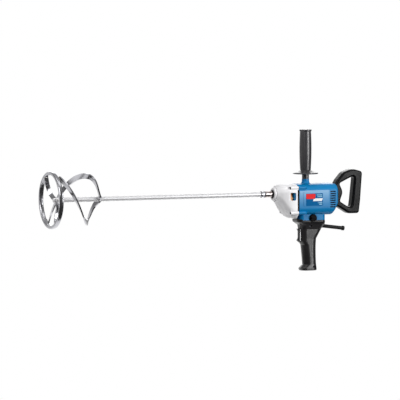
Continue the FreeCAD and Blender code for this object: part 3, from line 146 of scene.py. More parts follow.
# Paddle where it is welded: places along the axis, radii, and angles from the top towards the left
ARMS = (0, 180)
RING_REAR = -655.5 * MM
RING_WIDTH = 13.0 * MM
RING_INNER = 70.5 * MM
RING_MIDDLE = 75.25 * MM
RING_ROUND = 3.0 * MM
RING_SEAM = RING_REAR - 0.6 * MM
ROD_RADIUS = 6.8 * MM
RIBBON_START = 31
RIBBON_TURN = 205
RIBBON_END = -516.6 * MM
RIBBON_HALF = 2.4 * MM
RIBBON_FOOT = range(1, 9)
ROD_SEAM = range(30, 151, 10)
SPOKE_RIM = 329
SPOKE_HUB = 288
SPOKE_LEAN = 1.9
SPOKE_PARTS = 8
HUB_X = -648.0 * MM
HUB_REACH = 5.0 * MM
HUB_SPREAD = 38
HUB_STEPS = range(0, 361, 20)

# Weld beads
BEAD_SPACING = 1.0 * MM
BEAD_RADIUS = 1.1 * MM
BEAD_UNEVENNESS = 0.25
BEAD_SUBDIVISIONS = 2
BEAD_SEED = 0


# Helpers for node trees

def feed(tree, socket, value):
    """Sets a socket to a number, or links it where the value is another socket."""
    if isinstance(value, (int, float)):
        socket.default_value = value
    else:
        tree.links.new(value, socket)


def add_math(tree, operation, first, second):
    node = tree.nodes.new("ShaderNodeMath")
    node.operation = operation
    feed(tree, node.inputs[0], first)
    feed(tree, node.inputs[1], second)
    return node.outputs[0]


def add_range(tree, value, band, low=0.0, high=1.0):
    """Spreads a band of values from low to high and holds the ends."""
    node = tree.nodes.new("ShaderNodeMapRange")
    feed(tree, node.inputs["Value"], value)
    feed(tree, node.inputs["From Min"], band[0])
    feed(tree, node.inputs["From Max"], band[1])
    feed(tree, node.inputs["To Min"], low)
    feed(tree, node.inputs["To Max"], high)
    return node.outputs[0]


def add_noise(tree, vector, scale, detail, roughness=0.5):
    noise = tree.nodes.new("ShaderNodeTexNoise")
    tree.links.new(vector, noise.inputs["Vector"])
    feed(tree, noise.inputs["Scale"], scale)
    feed(tree, noise.inputs["Detail"], detail)
    feed(tree, noise.inputs["Roughness"], roughness)
    return noise.outputs["Fac"]


def ray_kinds(tree, labels):
    """One for rays of any of the named kinds."""
    path = tree.nodes.new("ShaderNodeLightPath")
    total = path.outputs[labels[0]]
    for label in labels[1:]:
        total = add_math(tree, "MAXIMUM", total, path.outputs[label])
    return total


# Studio

def view_axes():
    """Right, up and forward unit vectors of the camera."""
    azimuth = math.radians(CAMERA_AZIMUTH)
    elevation = math.radians(CAMERA_ELEVATION)
    level = math.cos(elevation)
    forward = Vector((-math.sin(azimuth) * level, math.cos(azimuth) * level, -math.sin(elevation)))
    right = forward.cross(Vector((0, 0, 1))).normalized()
    up = right.cross(forward).normalized()
    return right, up, forward


def make_camera():
    right, up, forward = view_axes()
    middle = FRAME_PIXELS / 2
    across = (NOSE_PIXEL[0] - middle) / PIXELS_PER_METRE
    above = (middle - NOSE_PIXEL[1]) / PIXELS_PER_METRE
    target = NOSE_POINT - right * across - up * above
    data = bpy.data.cameras.new("studio_camera")
    data.sensor_width = SENSOR_MM
    data.lens = LENS_PIXELS / FRAME_PIXELS * SENSOR_MM
    data.clip_end = CAMERA_CLIP
    camera = bpy.data.objects.new("studio_camera", data)
    camera.location = target - forward * (LENS_PIXELS / PIXELS_PER_METRE)
    camera.rotation_euler = forward.to_track_quat("-Z", "Y").to_euler()
    bpy.context.scene.collection.objects.link(camera)
    bpy.context.scene.camera = camera


def make_lamps():
    for name, place, aim, size, watts in LAMPS:
        data = bpy.data.lights.new(name, "AREA")
        data.shape = "RECTANGLE"
        data.size, data.size_y = size
        data.energy = watts
        lamp = bpy.data.objects.new(name, data)
        lamp.location = place
        lamp.rotation_euler = (Vector(aim) - Vector(place)).to_track_quat("-Z", "Y").to_euler()
        bpy.context.scene.collection.objects.link(lamp)


def make_world():
    """White to the camera; in reflections white behind the drill, paler above it and dark elsewhere.

    The rays that light the drill take the same pattern at a softer level.
    """
    world = bpy.data.worlds.new("studio")
    bpy.context.scene.world = world
    world.use_nodes = True
    tree = world.node_tree
    tree.nodes.clear()
    direction = tree.nodes.new("ShaderNodeSeparateXYZ")
    tree.links.new(tree.nodes.new("ShaderNodeTexCoord").outputs["Generated"], direction.inputs[0])
    behind = add_range(tree, direction.outputs["Y"], BEHIND_BAND)
    above = add_range(tree, direction.outputs["Z"], ABOVE_BAND, high=ABOVE_BRIGHT)
    bright = add_math(tree, "MAXIMUM", behind, above)
    shade = add_range(tree, bright, (0.0, 1.0), low=ROOM_DARK)
    seen = add_math(tree, "MAXIMUM", shade, ray_kinds(tree, [CAMERA_RAY]))
    level = add_range(tree, ray_kinds(tree, VIEWING_RAYS), (0.0, 1.0), low=ROOM_LIGHT)
    room = tree.nodes.new("ShaderNodeBackground")
    room.inputs["Color"].default_value = (1.0, 1.0, 1.0, 1.0)
    tree.links.new(add_math(tree, "MULTIPLY", seen, level), room.inputs["Strength"])
    output = tree.nodes.new("ShaderNodeOutputWorld")
    tree.links.new(room.outputs[0], output.inputs[0])


def make_floor():
    """White floor that takes the shadow and glows a little where it shows, so that it meets the backdrop."""
    mesh = bpy.data.meshes.new("floor")
    level = cad_low[2] - FLOOR_DROP
    low_x, high_x = FLOOR_X
    low_y, high_y = FLOOR_Y
    corners = [(low_x, low_y, level), (high_x, low_y, level), (high_x, high_y, level), (low_x, high_y, level)]
    mesh.from_pydata(corners, [], [(0, 1, 2, 3)])
    floor = bpy.data.objects.new("floor", mesh)
    bpy.context.scene.collection.objects.link(floor)
    material = bpy.data.materials.new("white_floor")
    material.use_nodes = True
    tree = material.node_tree
    tree.nodes.clear()
    matt = tree.nodes.new("ShaderNodeBsdfDiffuse")
    matt.inputs["Color"].default_value = (FLOOR_WHITE, FLOOR_WHITE, FLOOR_WHITE, 1.0)
    glow = tree.nodes.new("ShaderNodeEmission")
    shows = ray_kinds(tree, VIEWING_RAYS)
    tree.links.new(add_math(tree, "MULTIPLY", shows, FLOOR_GLOW), glow.inputs["Strength"])
    both = tree.nodes.new("ShaderNodeAddShader")
    tree.links.new(matt.outputs[0], both.inputs[0])
    tree.links.new(glow.outputs[0], both.inputs[1])
    output = tree.nodes.new("ShaderNodeOutputMaterial")
    tree.links.new(both.outputs[0], output.inputs[0])
    mesh.materials.append(material)


# Shader groups that several finishes share. Noises are given by scale, detail and sometimes roughness,
# bands by the part of a noise's range that is spread out.

NOISE_BAND = (0.3, 0.7)
GRAIN_DETAIL = 2.0
GLOSS_NOISE = (22.0, 3.0)
TONE_NOISE = (9.0, 2.0)
STREAK_NOISE = (1.0, 4.0, 0.6)
CLOUD_NOISE = (0.13, 2.0)
SCRATCH_STRETCH = (60.0, 420.0, 900.0)
SCRATCH_TURN = (0.4, 0.5, 0.3)
SCRATCH_NOISE = (1.0, 2.0)
SCRATCH_BAND = (0.62, 0.72)
PATCH_NOISE = (30.0, 3.0)
PATCH_BAND = (0.52, 0.68)
SURFACE_OUTPUTS = ("Height", "Roughness", "Tone")


def group_tree(name, numbers, outputs):
    """Shader group: a vector and named numbers with their usual values go in, named numbers come out."""
    tree = bpy.data.node_groups.new(name, "ShaderNodeTree")
    tree.interface.new_socket("Vector", in_out="INPUT", socket_type="NodeSocketVector")
    for label, value in numbers:
        socket = tree.interface.new_socket(label, in_out="INPUT", socket_type="NodeSocketFloat")
        socket.default_value = value
    for label in outputs:
        tree.interface.new_socket(label, in_out="OUTPUT", socket_type="NodeSocketFloat")
    return tree, tree.nodes.new("NodeGroupInput").outputs, tree.nodes.new("NodeGroupOutput").inputs


def link_surface(tree, given, results, height, gloss, tone):
    """Links a group's three outputs; the gloss noise is spread over the roughness range that comes in."""
    roughness = add_range(tree, gloss, NOISE_BAND, given["Roughness Low"], given["Roughness High"])
    tree.links.new(height, results["Height"])
    tree.links.new(roughness, results["Roughness"])
    tree.links.new(add_range(tree, tone, NOISE_BAND), results["Tone"])


def make_moulded_grain():
    """Fine spark-eroded grain of moulded plastic, with slow changes of gloss and tone."""
    numbers = (("Grain Scale", 1600.0), ("Roughness Low", 0.4), ("Roughness High", 0.55))
    tree, given, results = group_tree("moulded_grain", numbers, SURFACE_OUTPUTS)
    fine = add_noise(tree, given["Vector"], given["Grain Scale"], GRAIN_DETAIL)
    gloss = add_noise(tree, given["Vector"], *GLOSS_NOISE)
    tone = add_noise(tree, given["Vector"], *TONE_NOISE)
    link_surface(tree, given, results, fine, gloss, tone)
    return tree


def make_machined_streaks():
    """Turning or rolling marks: noise drawn out along one direction by the vector that comes in."""
    numbers = (("Roughness Low", 0.15), ("Roughness High", 0.3))
    tree, given, results = group_tree("machined_streaks", numbers, SURFACE_OUTPUTS)
    streak = add_noise(tree, given["Vector"], *STREAK_NOISE)
    cloud = add_noise(tree, given["Vector"], *CLOUD_NOISE)
    link_surface(tree, given, results, streak, streak, cloud)
    return tree


def make_scuffs():
    """Mask of fine handling scuffs: thin crossing scratches where a slow noise lets them through."""
    tree, given, results = group_tree("handling_scuffs", (("Amount", 0.5),), ("Mask",))
    stretched = tree.nodes.new("ShaderNodeMapping")
    stretched.inputs["Scale"].default_value = SCRATCH_STRETCH
    stretched.inputs["Rotation"].default_value = SCRATCH_TURN
    tree.links.new(given["Vector"], stretched.inputs["Vector"])
    scratch = add_range(tree, add_noise(tree, stretched.outputs["Vector"], *SCRATCH_NOISE), SCRATCH_BAND)
    patch = add_range(tree, add_noise(tree, given["Vector"], *PATCH_NOISE), PATCH_BAND)
    both = add_math(tree, "MULTIPLY", scratch, patch)
    tree.links.new(add_math(tree, "MULTIPLY", both, given["Amount"]), results["Mask"])
    return tree


MOULDED_GRAIN = make_moulded_grain()
MACHINED_STREAKS = make_machined_streaks()
SCUFFS = make_scuffs()


# Finishes

PLASTIC_GRAIN = 1600.0
PLASTIC_DEPTH = 0.04 * MM
PLASTIC_GLOSS = 0.4
PLASTIC_BUMP = 0.25
PLASTIC_SCUFFS = 0.15
SCUFF_GAIN = 1.6
SCUFF_LIFT = 0.02
LABEL_GRAIN = 300.0
LABEL_DEPTH = 0.01 * MM
LABEL_ROUGHNESS = (0.4, 0.5)
LABEL_GLOSS = 0.15
STREAK_DEPTH = 0.02 * MM
STREAK_BUMP = 0.15
AROUND_AXIS = (900.0, 40.0, 40.0)
EVEN = (500.0, 500.0, 500.0)
CAST_GRAIN = 1100.0
CAST_DEPTH = 0.08 * MM
CAST_ROUGHNESS = (0.48, 0.6)
CAST_METALLIC = 0.12
CAST_BUMP = 0.35
CAST_SCUFFS = 0.5
CAST_SCUFF_COLOUR = (0.95, 0.95, 0.95)


def new_finish(name):
    """Material with its shader and its Object coordinates."""
    material = bpy.data.materials.new(name)
    material.use_nodes = True
    tree = material.node_tree
    tree.nodes.clear()
    output = tree.nodes.new("ShaderNodeOutputMaterial")
    shader = tree.nodes.new("ShaderNodeBsdfPrincipled")
    tree.links.new(shader.outputs[0], output.inputs["Surface"])
    place = tree.nodes.new("ShaderNodeTexCoord").outputs["Object"]
    return material, tree, shader, place


def place_group(tree, group, vector, **values):
    node = tree.nodes.new("ShaderNodeGroup")
    node.node_tree = group
    tree.links.new(vector, node.inputs["Vector"])
    for label, value in values.items():
        node.inputs[label.replace("_", " ")].default_value = value
    return node.outputs


def mix_colours(tree, factor, first, second):
    node = tree.nodes.new("ShaderNodeMix")
    node.data_type = "RGBA"
    tree.links.new(factor, node.inputs["Factor"])
    for label, colour in (("A", first), ("B", second)):
        socket = [item for item in node.inputs if item.name == label and item.type == "RGBA"][0]
        if isinstance(colour, tuple):
            socket.default_value = (*colour, 1.0)
        else:
            tree.links.new(colour, socket)
    return [item for item in node.outputs if item.type == "RGBA"][0]


def add_bump(tree, shader, height, strength, distance):
    bump = tree.nodes.new("ShaderNodeBump")
    bump.inputs["Strength"].default_value = strength
    bump.inputs["Distance"].default_value = distance
    tree.links.new(height, bump.inputs["Height"])
    tree.links.new(bump.outputs[0], shader.inputs["Normal"])


def srgb(red, green, blue):
    """Linear colour from 0 to 255 screen values."""
    def linear(value):
        part = value / 255
        return part / 12.92 if part <= 0.04045 else ((part + 0.055) / 1.055) ** 2.4
    return linear(red), linear(green), linear(blue)


def painted_sheen_mask(tree, place):
    """Mask of the painted sheen, a painted reflection on the housing's flat sides in front of the vents: one
    at their top, fading downwards.
    """
    parts = tree.nodes.new("ShaderNodeSeparateXYZ")
    tree.links.new(place, parts.inputs[0])
    x, y, z = parts.outputs
    out = add_math(tree, "ABSOLUTE", y, 0.0)
    mask = add_math(tree, "GREATER_THAN", out, PANEL_Y - PANEL_DEPTH)
    above = add_math(tree, "GREATER_THAN", z, PANEL_Z[0])
    below = add_math(tree, "LESS_THAN", z, PANEL_Z[1])
    ahead = add_range(tree, x, (PANEL_REAR - SHEEN_FADE, PANEL_REAR + SHEEN_FADE), 1.0, 0.0)
    rise = add_math(tree, "POWER", add_range(tree, z, PANEL_Z), SHEEN_EASE)
    for part in (above, below, ahead, rise):
        mask = add_math(tree, "MULTIPLY", mask, part)
    return mask


def moulded_plastic(name, colour, pale, roughness, grain_scale=PLASTIC_GRAIN, grain_depth=PLASTIC_DEPTH,
                    gloss=PLASTIC_GLOSS, sheen_colour=None):
    """Fine moulded grain with light scuffs; a paler colour for a painted sheen, a painted reflection, goes on
    the flat sides of the housing.
    """
    material, tree, shader, place = new_finish(name)
    grain = place_group(tree, MOULDED_GRAIN, place, Grain_Scale=grain_scale, Roughness_Low=roughness[0],
                        Roughness_High=roughness[1])
    tone = mix_colours(tree, grain["Tone"], colour, pale)
    # Painted sheen: a paler colour standing in for a reflection, faded in over the flat sides of the housing
    if sheen_colour:
        tone = mix_colours(tree, painted_sheen_mask(tree, place), tone, sheen_colour)
    worn = place_group(tree, SCUFFS, place, Amount=PLASTIC_SCUFFS)
    light = tuple(min(1.0, channel * SCUFF_GAIN + SCUFF_LIFT) for channel in pale)
    tree.links.new(mix_colours(tree, worn["Mask"], tone, light), shader.inputs["Base Color"])
    tree.links.new(grain["Roughness"], shader.inputs["Roughness"])
    shader.inputs["Specular IOR Level"].default_value = gloss
    add_bump(tree, shader, grain["Height"], PLASTIC_BUMP, grain_depth)
    return material


def printed_label(name, colour, pale, gloss=LABEL_GLOSS):
    """Printed film, smoother than the moulding under it."""
    return moulded_plastic(name, colour, pale, LABEL_ROUGHNESS, LABEL_GRAIN, LABEL_DEPTH, gloss)


def streaked_metal(name, colour, dark, roughness, stretch, metallic=1.0, raised=True):
    """Drawn or machined metal with fine streaks, which stand up a little where they are raised."""
    material, tree, shader, place = new_finish(name)
    mapping = tree.nodes.new("ShaderNodeMapping")
    mapping.inputs["Scale"].default_value = stretch
    tree.links.new(place, mapping.inputs["Vector"])
    streaks = place_group(tree, MACHINED_STREAKS, mapping.outputs["Vector"], Roughness_Low=roughness[0],
                          Roughness_High=roughness[1])
    tone = mix_colours(tree, streaks["Tone"], dark, colour)
    tree.links.new(tone, shader.inputs["Base Color"])
    tree.links.new(streaks["Roughness"], shader.inputs["Roughness"])
    shader.inputs["Metallic"].default_value = metallic
    if raised:
        add_bump(tree, shader, streaks["Height"], STREAK_BUMP, STREAK_DEPTH)
    return material


def cast_metal(name, colour, dark):
    """Blasted aluminium casting: even fine pitting with a soft silver sheen."""
    material, tree, shader, place = new_finish(name)
    grain = place_group(tree, MOULDED_GRAIN, place, Grain_Scale=CAST_GRAIN, Roughness_Low=CAST_ROUGHNESS[0],
                        Roughness_High=CAST_ROUGHNESS[1])
    worn = place_group(tree, SCUFFS, place, Amount=CAST_SCUFFS)
    tone = mix_colours(tree, grain["Tone"], dark, colour)
    rubbed = mix_colours(tree, worn["Mask"], tone, CAST_SCUFF_COLOUR)
    tree.links.new(rubbed, shader.inputs["Base Color"])
    tree.links.new(grain["Roughness"], shader.inputs["Roughness"])
    shader.inputs["Metallic"].default_value = CAST_METALLIC
    add_bump(tree, shader, grain["Height"], CAST_BUMP, CAST_DEPTH)
    return material


def make_finishes():
    """Finishes by slot of the record, and those that single nodes and new pieces take."""
    return {
        "cast_aluminium": cast_metal("cast_aluminium", (0.91, 0.905, 0.92), (0.84, 0.835, 0.85)),
        # The blue shell's pale side colour is a painted sheen, standing in for a reflection on the flat sides
        "blue_plastic": moulded_plastic("blue_shell", srgb(0, 118, 178), srgb(4, 124, 184), (0.36, 0.46),
                                        gloss=0.25, sheen_colour=srgb(140, 188, 226)),
        "black_plastic": moulded_plastic("black_moulding", srgb(9, 9, 11), srgb(14, 14, 16), (0.28, 0.38),
                                         grain_depth=0.02 * MM, gloss=0.11),
        "grip_black": moulded_plastic("grip_black", srgb(26, 25, 27), srgb(32, 31, 33), (0.28, 0.38),
                                      gloss=0.6),
        "deep_black": moulded_plastic("deep_black", srgb(3, 2, 5), srgb(6, 5, 8), (0.3, 0.4), gloss=0.04),
        "soft_black": moulded_plastic("soft_black", srgb(50, 49, 52), srgb(56, 55, 58), (0.30, 0.38),
                                      grain_depth=0.015 * MM, gloss=0.8),
        "black_rubber": moulded_plastic("black_rubber", srgb(12, 12, 13), srgb(18, 18, 19), (0.5, 0.65),
                                        grain_scale=900.0, gloss=0.25),
        "bright_steel": streaked_metal("bright_steel", (0.88, 0.88, 0.89), (0.78, 0.78, 0.80), (0.10, 0.20),
                                       AROUND_AXIS),
        "black_steel": streaked_metal("black_oxide", (0.035, 0.035, 0.04), (0.02, 0.02, 0.022), (0.35, 0.5),
                                      EVEN),
        "spindle_steel": streaked_metal("spindle_steel", (0.60, 0.55, 0.54), (0.42, 0.37, 0.36), (0.22, 0.34),
                                        AROUND_AXIS),
        "satin_steel": streaked_metal("satin_steel", (0.76, 0.76, 0.77), (0.70, 0.70, 0.72), (0.40, 0.50),
                                      AROUND_AXIS, metallic=0.5, raised=False),
        "collar_steel": streaked_metal("collar_steel", (0.66, 0.67, 0.70), (0.50, 0.50, 0.53), (0.26, 0.4),
                                       AROUND_AXIS),
        "paddle_steel": streaked_metal("paddle_steel", (0.40, 0.40, 0.42), (0.36, 0.36, 0.38), (0.18, 0.24),
                                       EVEN, raised=False),
        "weld_metal": streaked_metal("weld_metal", (0.62, 0.60, 0.57), (0.36, 0.34, 0.32), (0.25, 0.4), EVEN),
        "plain_steel": streaked_metal("plain_steel", (0.60, 0.60, 0.62), (0.45, 0.45, 0.47), (0.25, 0.4),
                                      AROUND_AXIS),
        "bronze": streaked_metal("sintered_bronze", (0.55, 0.36, 0.14), (0.42, 0.27, 0.10), (0.35, 0.5),
                                 EVEN),
        "copper": streaked_metal("enamelled_copper", (0.55, 0.20, 0.07), (0.36, 0.12, 0.04), (0.25, 0.4),
                                 AROUND_AXIS),
        "laminations": streaked_metal("sheet_stack", (0.22, 0.22, 0.23), (0.12, 0.12, 0.13), (0.4, 0.55),
                                      AROUND_AXIS),
        "amber_nylon": moulded_plastic("amber_nylon", srgb(214, 150, 88), srgb(232, 176, 120), (0.4, 0.5)),
        "carbon": moulded_plastic("pressed_carbon", srgb(24, 24, 25), srgb(40, 40, 41), (0.5, 0.65)),
        "white_nylon": moulded_plastic("white_nylon", srgb(214, 212, 204), srgb(228, 226, 220), (0.4, 0.5)),
        "label_blue": printed_label("label_blue", srgb(0, 92, 150), srgb(2, 98, 156), gloss=0.04),
        "label_red": printed_label("label_red", srgb(226, 20, 24), srgb(238, 32, 34)),
        "label_pale": printed_label("label_pale", srgb(120, 180, 212), srgb(140, 194, 222)),
        "label_white": printed_label("label_white", srgb(236, 240, 244), srgb(248, 250, 252)),
    }


finishes = make_finishes()
NODE_FINISHES = {
    "spindle": "spindle_steel",
    "rod_collar": "collar_steel",
    "mixing_rod": "satin_steel",
    "paddle_ring": "paddle_steel",
    "ribbon_a": "paddle_steel",
    "ribbon_b": "paddle_steel",
    "spoke_a": "paddle_steel",
    "spoke_b": "paddle_steel",
    "reversing_knob": "deep_black",
    "side_handle_grip": "soft_black",
    "side_handle_cap": "soft_black",
    "grip_left": "grip_black",
    "grip_right": "grip_black",
    "seam_gasket": "deep_black",
}


def dress_cad_nodes():
    """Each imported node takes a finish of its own, or else the one of its slot in the record."""
    for subpart in frame["record"]["subparts"]:
        node = frame["nodes"][subpart["node"]]
        node.data.materials.clear()
        finish = NODE_FINISHES.get(subpart["node"], subpart["material_slot"])
        node.data.materials.append(finishes[finish])


# Meshes

def mesh_piece(name, mesh, finish, body):
    """Object at the origin with one finish, riding on a body of the frame."""
    piece = bpy.data.objects.new(name, mesh)
    bpy.context.scene.collection.objects.link(piece)
    mesh.materials.clear()
    mesh.materials.append(finishes[finish])
    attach(piece, body)


def shape_piece(name, shape, finish, body):
    """Piece from a closed bmesh, with its faces turned outwards."""
    bmesh.ops.recalc_face_normals(shape, faces=shape.faces)
    mesh = bpy.data.meshes.new(name)
    shape.to_mesh(mesh)
    shape.free()
    mesh_piece(name, mesh, finish, body)


def side_plate(name, x_range, z_range, face_y, rise, corner, finish, lean=0.0):
    """Thin plate with rounded corners lying on the left side; lean shifts its top edge to the rear."""
    shape = bmesh.new()
    middle_x = (x_range[0] + x_range[1]) / 2
    middle_z = (z_range[0] + z_range[1]) / 2
    half_x = (x_range[1] - x_range[0]) / 2 - corner
    half_z = (z_range[1] - z_range[0]) / 2 - corner
    outline = []
    for side_x, side_z, start in ((1, 1, 0), (-1, 1, 90), (-1, -1, 180), (1, -1, 270)):
        for step in range(CORNER_STEPS + 1):
            angle = math.radians(start + 90 * step / CORNER_STEPS)
            x = side_x * half_x + corner * math.cos(angle)
            z = side_z * half_z + corner * math.sin(angle)
            outline.append((middle_x + x + lean * z, middle_z + z))
    back = [shape.verts.new((x, face_y, z)) for x, z in outline]
    front = [shape.verts.new((x, face_y - rise, z)) for x, z in outline]
    shape.faces.new(front)
    shape.faces.new(list(reversed(back)))
    for index in range(len(outline)):
        following = (index + 1) % len(outline)
        shape.faces.new((back[index], back[following], front[following], front[index]))
    shape_piece(name, shape, finish, "housing")


def make_label():
    """Plain colour label: a deep blue field with a red block, a white bar and pale lines, and no writing."""
    front, rear = LABEL_X
    top = LABEL_Z[1]
    print_y = -PANEL_Y - LABEL_RISE
    side_plate("label_field", LABEL_X, LABEL_Z, -PANEL_Y, LABEL_RISE, LABEL_CORNER, "label_blue")
    block_x = (front, front + BLOCK_LENGTH)
    block_z = (top - BLOCK_DROP[1], top - BLOCK_DROP[0])
    side_plate("label_block", block_x, block_z, print_y, PRINT_RISE, LABEL_CORNER, "label_red")
    bar_x = (rear - BAR_INSET[1], rear - BAR_INSET[0])
    bar_z = (top - BAR_DROP[1], top - BAR_DROP[0])
    side_plate("label_bar", bar_x, bar_z, print_y, PRINT_RISE, BAR_CORNER, "label_white", BAR_LEAN)
    line_rear = rear - LINE_INSET
    for index, (drop, length) in enumerate(zip(LINE_DROPS, LINE_LENGTHS), start=1):
        line_x = (line_rear - length, line_rear)
        line_z = (top - drop - LINE_HEIGHT, top - drop)
        side_plate("label_line_%d" % index, line_x, line_z, print_y, PRINT_RISE, LINE_CORNER, "label_pale")


def box_piece(name, x_range, y_range, z_range, round_edge, finish):
    """Box with rounded edges on the housing."""
    box = bmesh.new()
    bmesh.ops.create_cube(box, size=1.0)
    for vertex in box.verts:
        for axis, (low, high) in enumerate((x_range, y_range, z_range)):
            vertex.co[axis] = low + (vertex.co[axis] + 0.5) * (high - low)
    bmesh.ops.bevel(box, geom=list(box.edges), offset=round_edge, segments=EDGE_SEGMENTS,
                    profile=EDGE_PROFILE, affect="EDGES")
    shape_piece(name, box, finish, "housing")


def both_sides(near, far):
    """Left and right ranges across Y, with the words that name them."""
    return (("left", (-far, -near)), ("right", (near, far)))


def make_vent_shade_screens():
    """Near-black screens just inside the rear vents of the motor housing, a dark sheet that paints the shade
    inside the vents.
    """
    for side, y_range in both_sides(SCREEN_Y - SCREEN_THICKNESS, SCREEN_Y):
        box_piece("vent_screen_" + side, SCREEN_X, y_range, SCREEN_Z, SCREEN_ROUND,
                  "deep_black")


def make_trigger_bezels():
    """Thin bright strips along both edges of the trigger opening."""
    for side, y_range in both_sides(*BEZEL_Y):
        box_piece("trigger_bezel_" + side, BEZEL_X, y_range, BEZEL_Z, BEZEL_ROUND,
                  "satin_steel")


def round_axis(radius, angle):
    """Y and Z of a point round the spindle axis; the angle runs from the top towards the left, in degrees."""
    turn = math.radians(angle)
    return -radius * math.sin(turn), radius * math.cos(turn)


def make_collar_rings():
    """Two dark retaining rings let into the rod collar."""
    half = COLLAR_RING_WIDTH / 2
    flat = half * COLLAR_RING_FLAT
    root = COLLAR_RADIUS - COLLAR_RING_DEPTH
    rim = COLLAR_RADIUS + COLLAR_RING_RISE
    edge = rim - half * COLLAR_RING_BEVEL
    profile = ((-half, root), (-half, edge), (-flat, rim), (flat, rim), (half, edge), (half, root))
    shape = bmesh.new()
    for x in COLLAR_RINGS:
        loops = []
        for step in range(COLLAR_RING_STEPS):
            angle = 360 * step / COLLAR_RING_STEPS
            points = [(x + along, *round_axis(radius, angle)) for along, radius in profile]
            loops.append([shape.verts.new(point) for point in points])
        for index, loop in enumerate(loops):
            following = loops[(index + 1) % COLLAR_RING_STEPS]
            for corner in range(len(profile)):
                turned = (corner + 1) % len(profile)
                shape.faces.new((loop[corner], loop[turned], following[turned], following[corner]))
    shape_piece("collar_rings", shape, "black_steel", "spindle_line")


# Weld beads, strung along the joints of the paddle by a Geometry Nodes tree

def hub_point(middle, angle):
    """Point of the loop round a spoke's foot on the rod."""
    turn = math.radians(angle)
    across = round_axis(ROD_RADIUS, middle + HUB_SPREAD * math.sin(turn))
    return (HUB_X + HUB_REACH * math.cos(turn), *across)


def weld_lines():
    """Joint lines of each arm: ribbon to ring, ribbon to rod, spoke to ring and spoke to rod."""
    lines = []
    for arm in ARMS:
        start = RIBBON_START + arm
        for radius in (RING_MIDDLE - RING_ROUND, RING_MIDDLE + RING_ROUND):
            lines.append([(RING_SEAM, *round_axis(radius, start + step)) for step in RIBBON_FOOT])
        end = start + RIBBON_TURN
        for x in (RIBBON_END - RIBBON_HALF, RIBBON_END + RIBBON_HALF):
            lines.append([(x, *round_axis(ROD_RADIUS, end + step)) for step in ROD_SEAM])
        for lean in (-SPOKE_LEAN, SPOKE_LEAN):
            rim = round_axis(RING_INNER, SPOKE_RIM + arm + lean)
            seam = [RING_REAR - RING_WIDTH * part / SPOKE_PARTS for part in range(1, SPOKE_PARTS)]
            lines.append([(x, *rim) for x in seam])
        lines.append([hub_point(SPOKE_HUB + arm, step) for step in HUB_STEPS])
    return lines


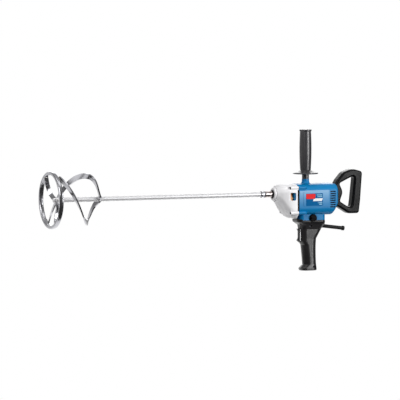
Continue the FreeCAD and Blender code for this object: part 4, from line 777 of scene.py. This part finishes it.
def bead_tree():
    """Strings beads of slightly uneven size along the curves of a mesh of edges."""
    tree = bpy.data.node_groups.new("weld_bead_string", "GeometryNodeTree")
    tree.interface.new_socket("Geometry", in_out="INPUT", socket_type="NodeSocketGeometry")
    for label, kind in (("Spacing", "NodeSocketFloat"), ("Bead Radius", "NodeSocketFloat"),
                        ("Unevenness", "NodeSocketFloat"), ("Finish", "NodeSocketMaterial")):
        tree.interface.new_socket(label, in_out="INPUT", socket_type=kind)
    tree.interface.new_socket("Geometry", in_out="OUTPUT", socket_type="NodeSocketGeometry")
    given = tree.nodes.new("NodeGroupInput").outputs
    sink = tree.nodes.new("NodeGroupOutput")
    curve = tree.nodes.new("GeometryNodeMeshToCurve")
    spread = tree.nodes.new("GeometryNodeResampleCurve")
    spread.mode = "LENGTH"
    bead = tree.nodes.new("GeometryNodeMeshIcoSphere")
    bead.inputs["Subdivisions"].default_value = BEAD_SUBDIVISIONS
    size = tree.nodes.new("FunctionNodeRandomValue")
    size.inputs["Seed"].default_value = BEAD_SEED
    low, high = [socket for socket in size.inputs if socket.type == "VALUE"][:2]
    drawn = [socket for socket in size.outputs if socket.type == "VALUE"][0]
    place = tree.nodes.new("GeometryNodeInstanceOnPoints")
    solid = tree.nodes.new("GeometryNodeRealizeInstances")
    smooth = tree.nodes.new("GeometryNodeSetShadeSmooth")
    finish = tree.nodes.new("GeometryNodeSetMaterial")
    tree.links.new(add_math(tree, "SUBTRACT", 1.0, given["Unevenness"]), low)
    tree.links.new(add_math(tree, "ADD", 1.0, given["Unevenness"]), high)
    tree.links.new(given["Geometry"], curve.inputs["Mesh"])
    tree.links.new(curve.outputs["Curve"], spread.inputs["Curve"])
    tree.links.new(given["Spacing"], spread.inputs["Length"])
    tree.links.new(given["Bead Radius"], bead.inputs["Radius"])
    tree.links.new(spread.outputs["Curve"], place.inputs["Points"])
    tree.links.new(bead.outputs["Mesh"], place.inputs["Instance"])
    tree.links.new(drawn, place.inputs["Scale"])
    tree.links.new(place.outputs["Instances"], solid.inputs["Geometry"])
    tree.links.new(solid.outputs["Geometry"], smooth.inputs["Geometry"])
    tree.links.new(smooth.outputs["Geometry"], finish.inputs["Geometry"])
    tree.links.new(given["Finish"], finish.inputs["Material"])
    tree.links.new(finish.outputs["Geometry"], sink.inputs["Geometry"])
    return tree


def set_inputs(modifier, **values):
    """Sets the named inputs of a Geometry Nodes modifier by their socket identifiers."""
    for item in modifier.node_group.interface.items_tree:
        key = item.name.replace(" ", "_")
        if item.in_out == "INPUT" and key in values:
            modifier[item.identifier] = values[key]


def make_weld_beads():
    """Runs the tree on the joint lines and keeps the beads as a plain mesh."""
    points = []
    edges = []
    for line in weld_lines():
        first = len(points)
        points += line
        edges += [(first + index, first + index + 1) for index in range(len(line) - 1)]
    mesh = bpy.data.meshes.new("weld_lines")
    mesh.from_pydata(points, edges, [])
    source = bpy.data.objects.new("weld_lines", mesh)
    bpy.context.scene.collection.objects.link(source)
    modifier = source.modifiers.new("weld_bead_string", "NODES")
    modifier.node_group = bead_tree()
    set_inputs(modifier, Spacing=BEAD_SPACING, Bead_Radius=BEAD_RADIUS, Unevenness=BEAD_UNEVENNESS,
               Finish=finishes["weld_metal"])
    graph = bpy.context.evaluated_depsgraph_get()
    beads = bpy.data.meshes.new_from_object(source.evaluated_get(graph))
    beads.name = "weld_beads"
    bpy.data.objects.remove(source)
    mesh_piece("weld_beads", beads, "weld_metal", "spindle_line")


make_camera()
make_lamps()
make_world()
make_floor()
dress_cad_nodes()
make_label()
make_vent_shade_screens()
make_trigger_bezels()
make_collar_rings()
make_weld_beads()

bpy.context.scene.view_settings.view_transform = "Standard"
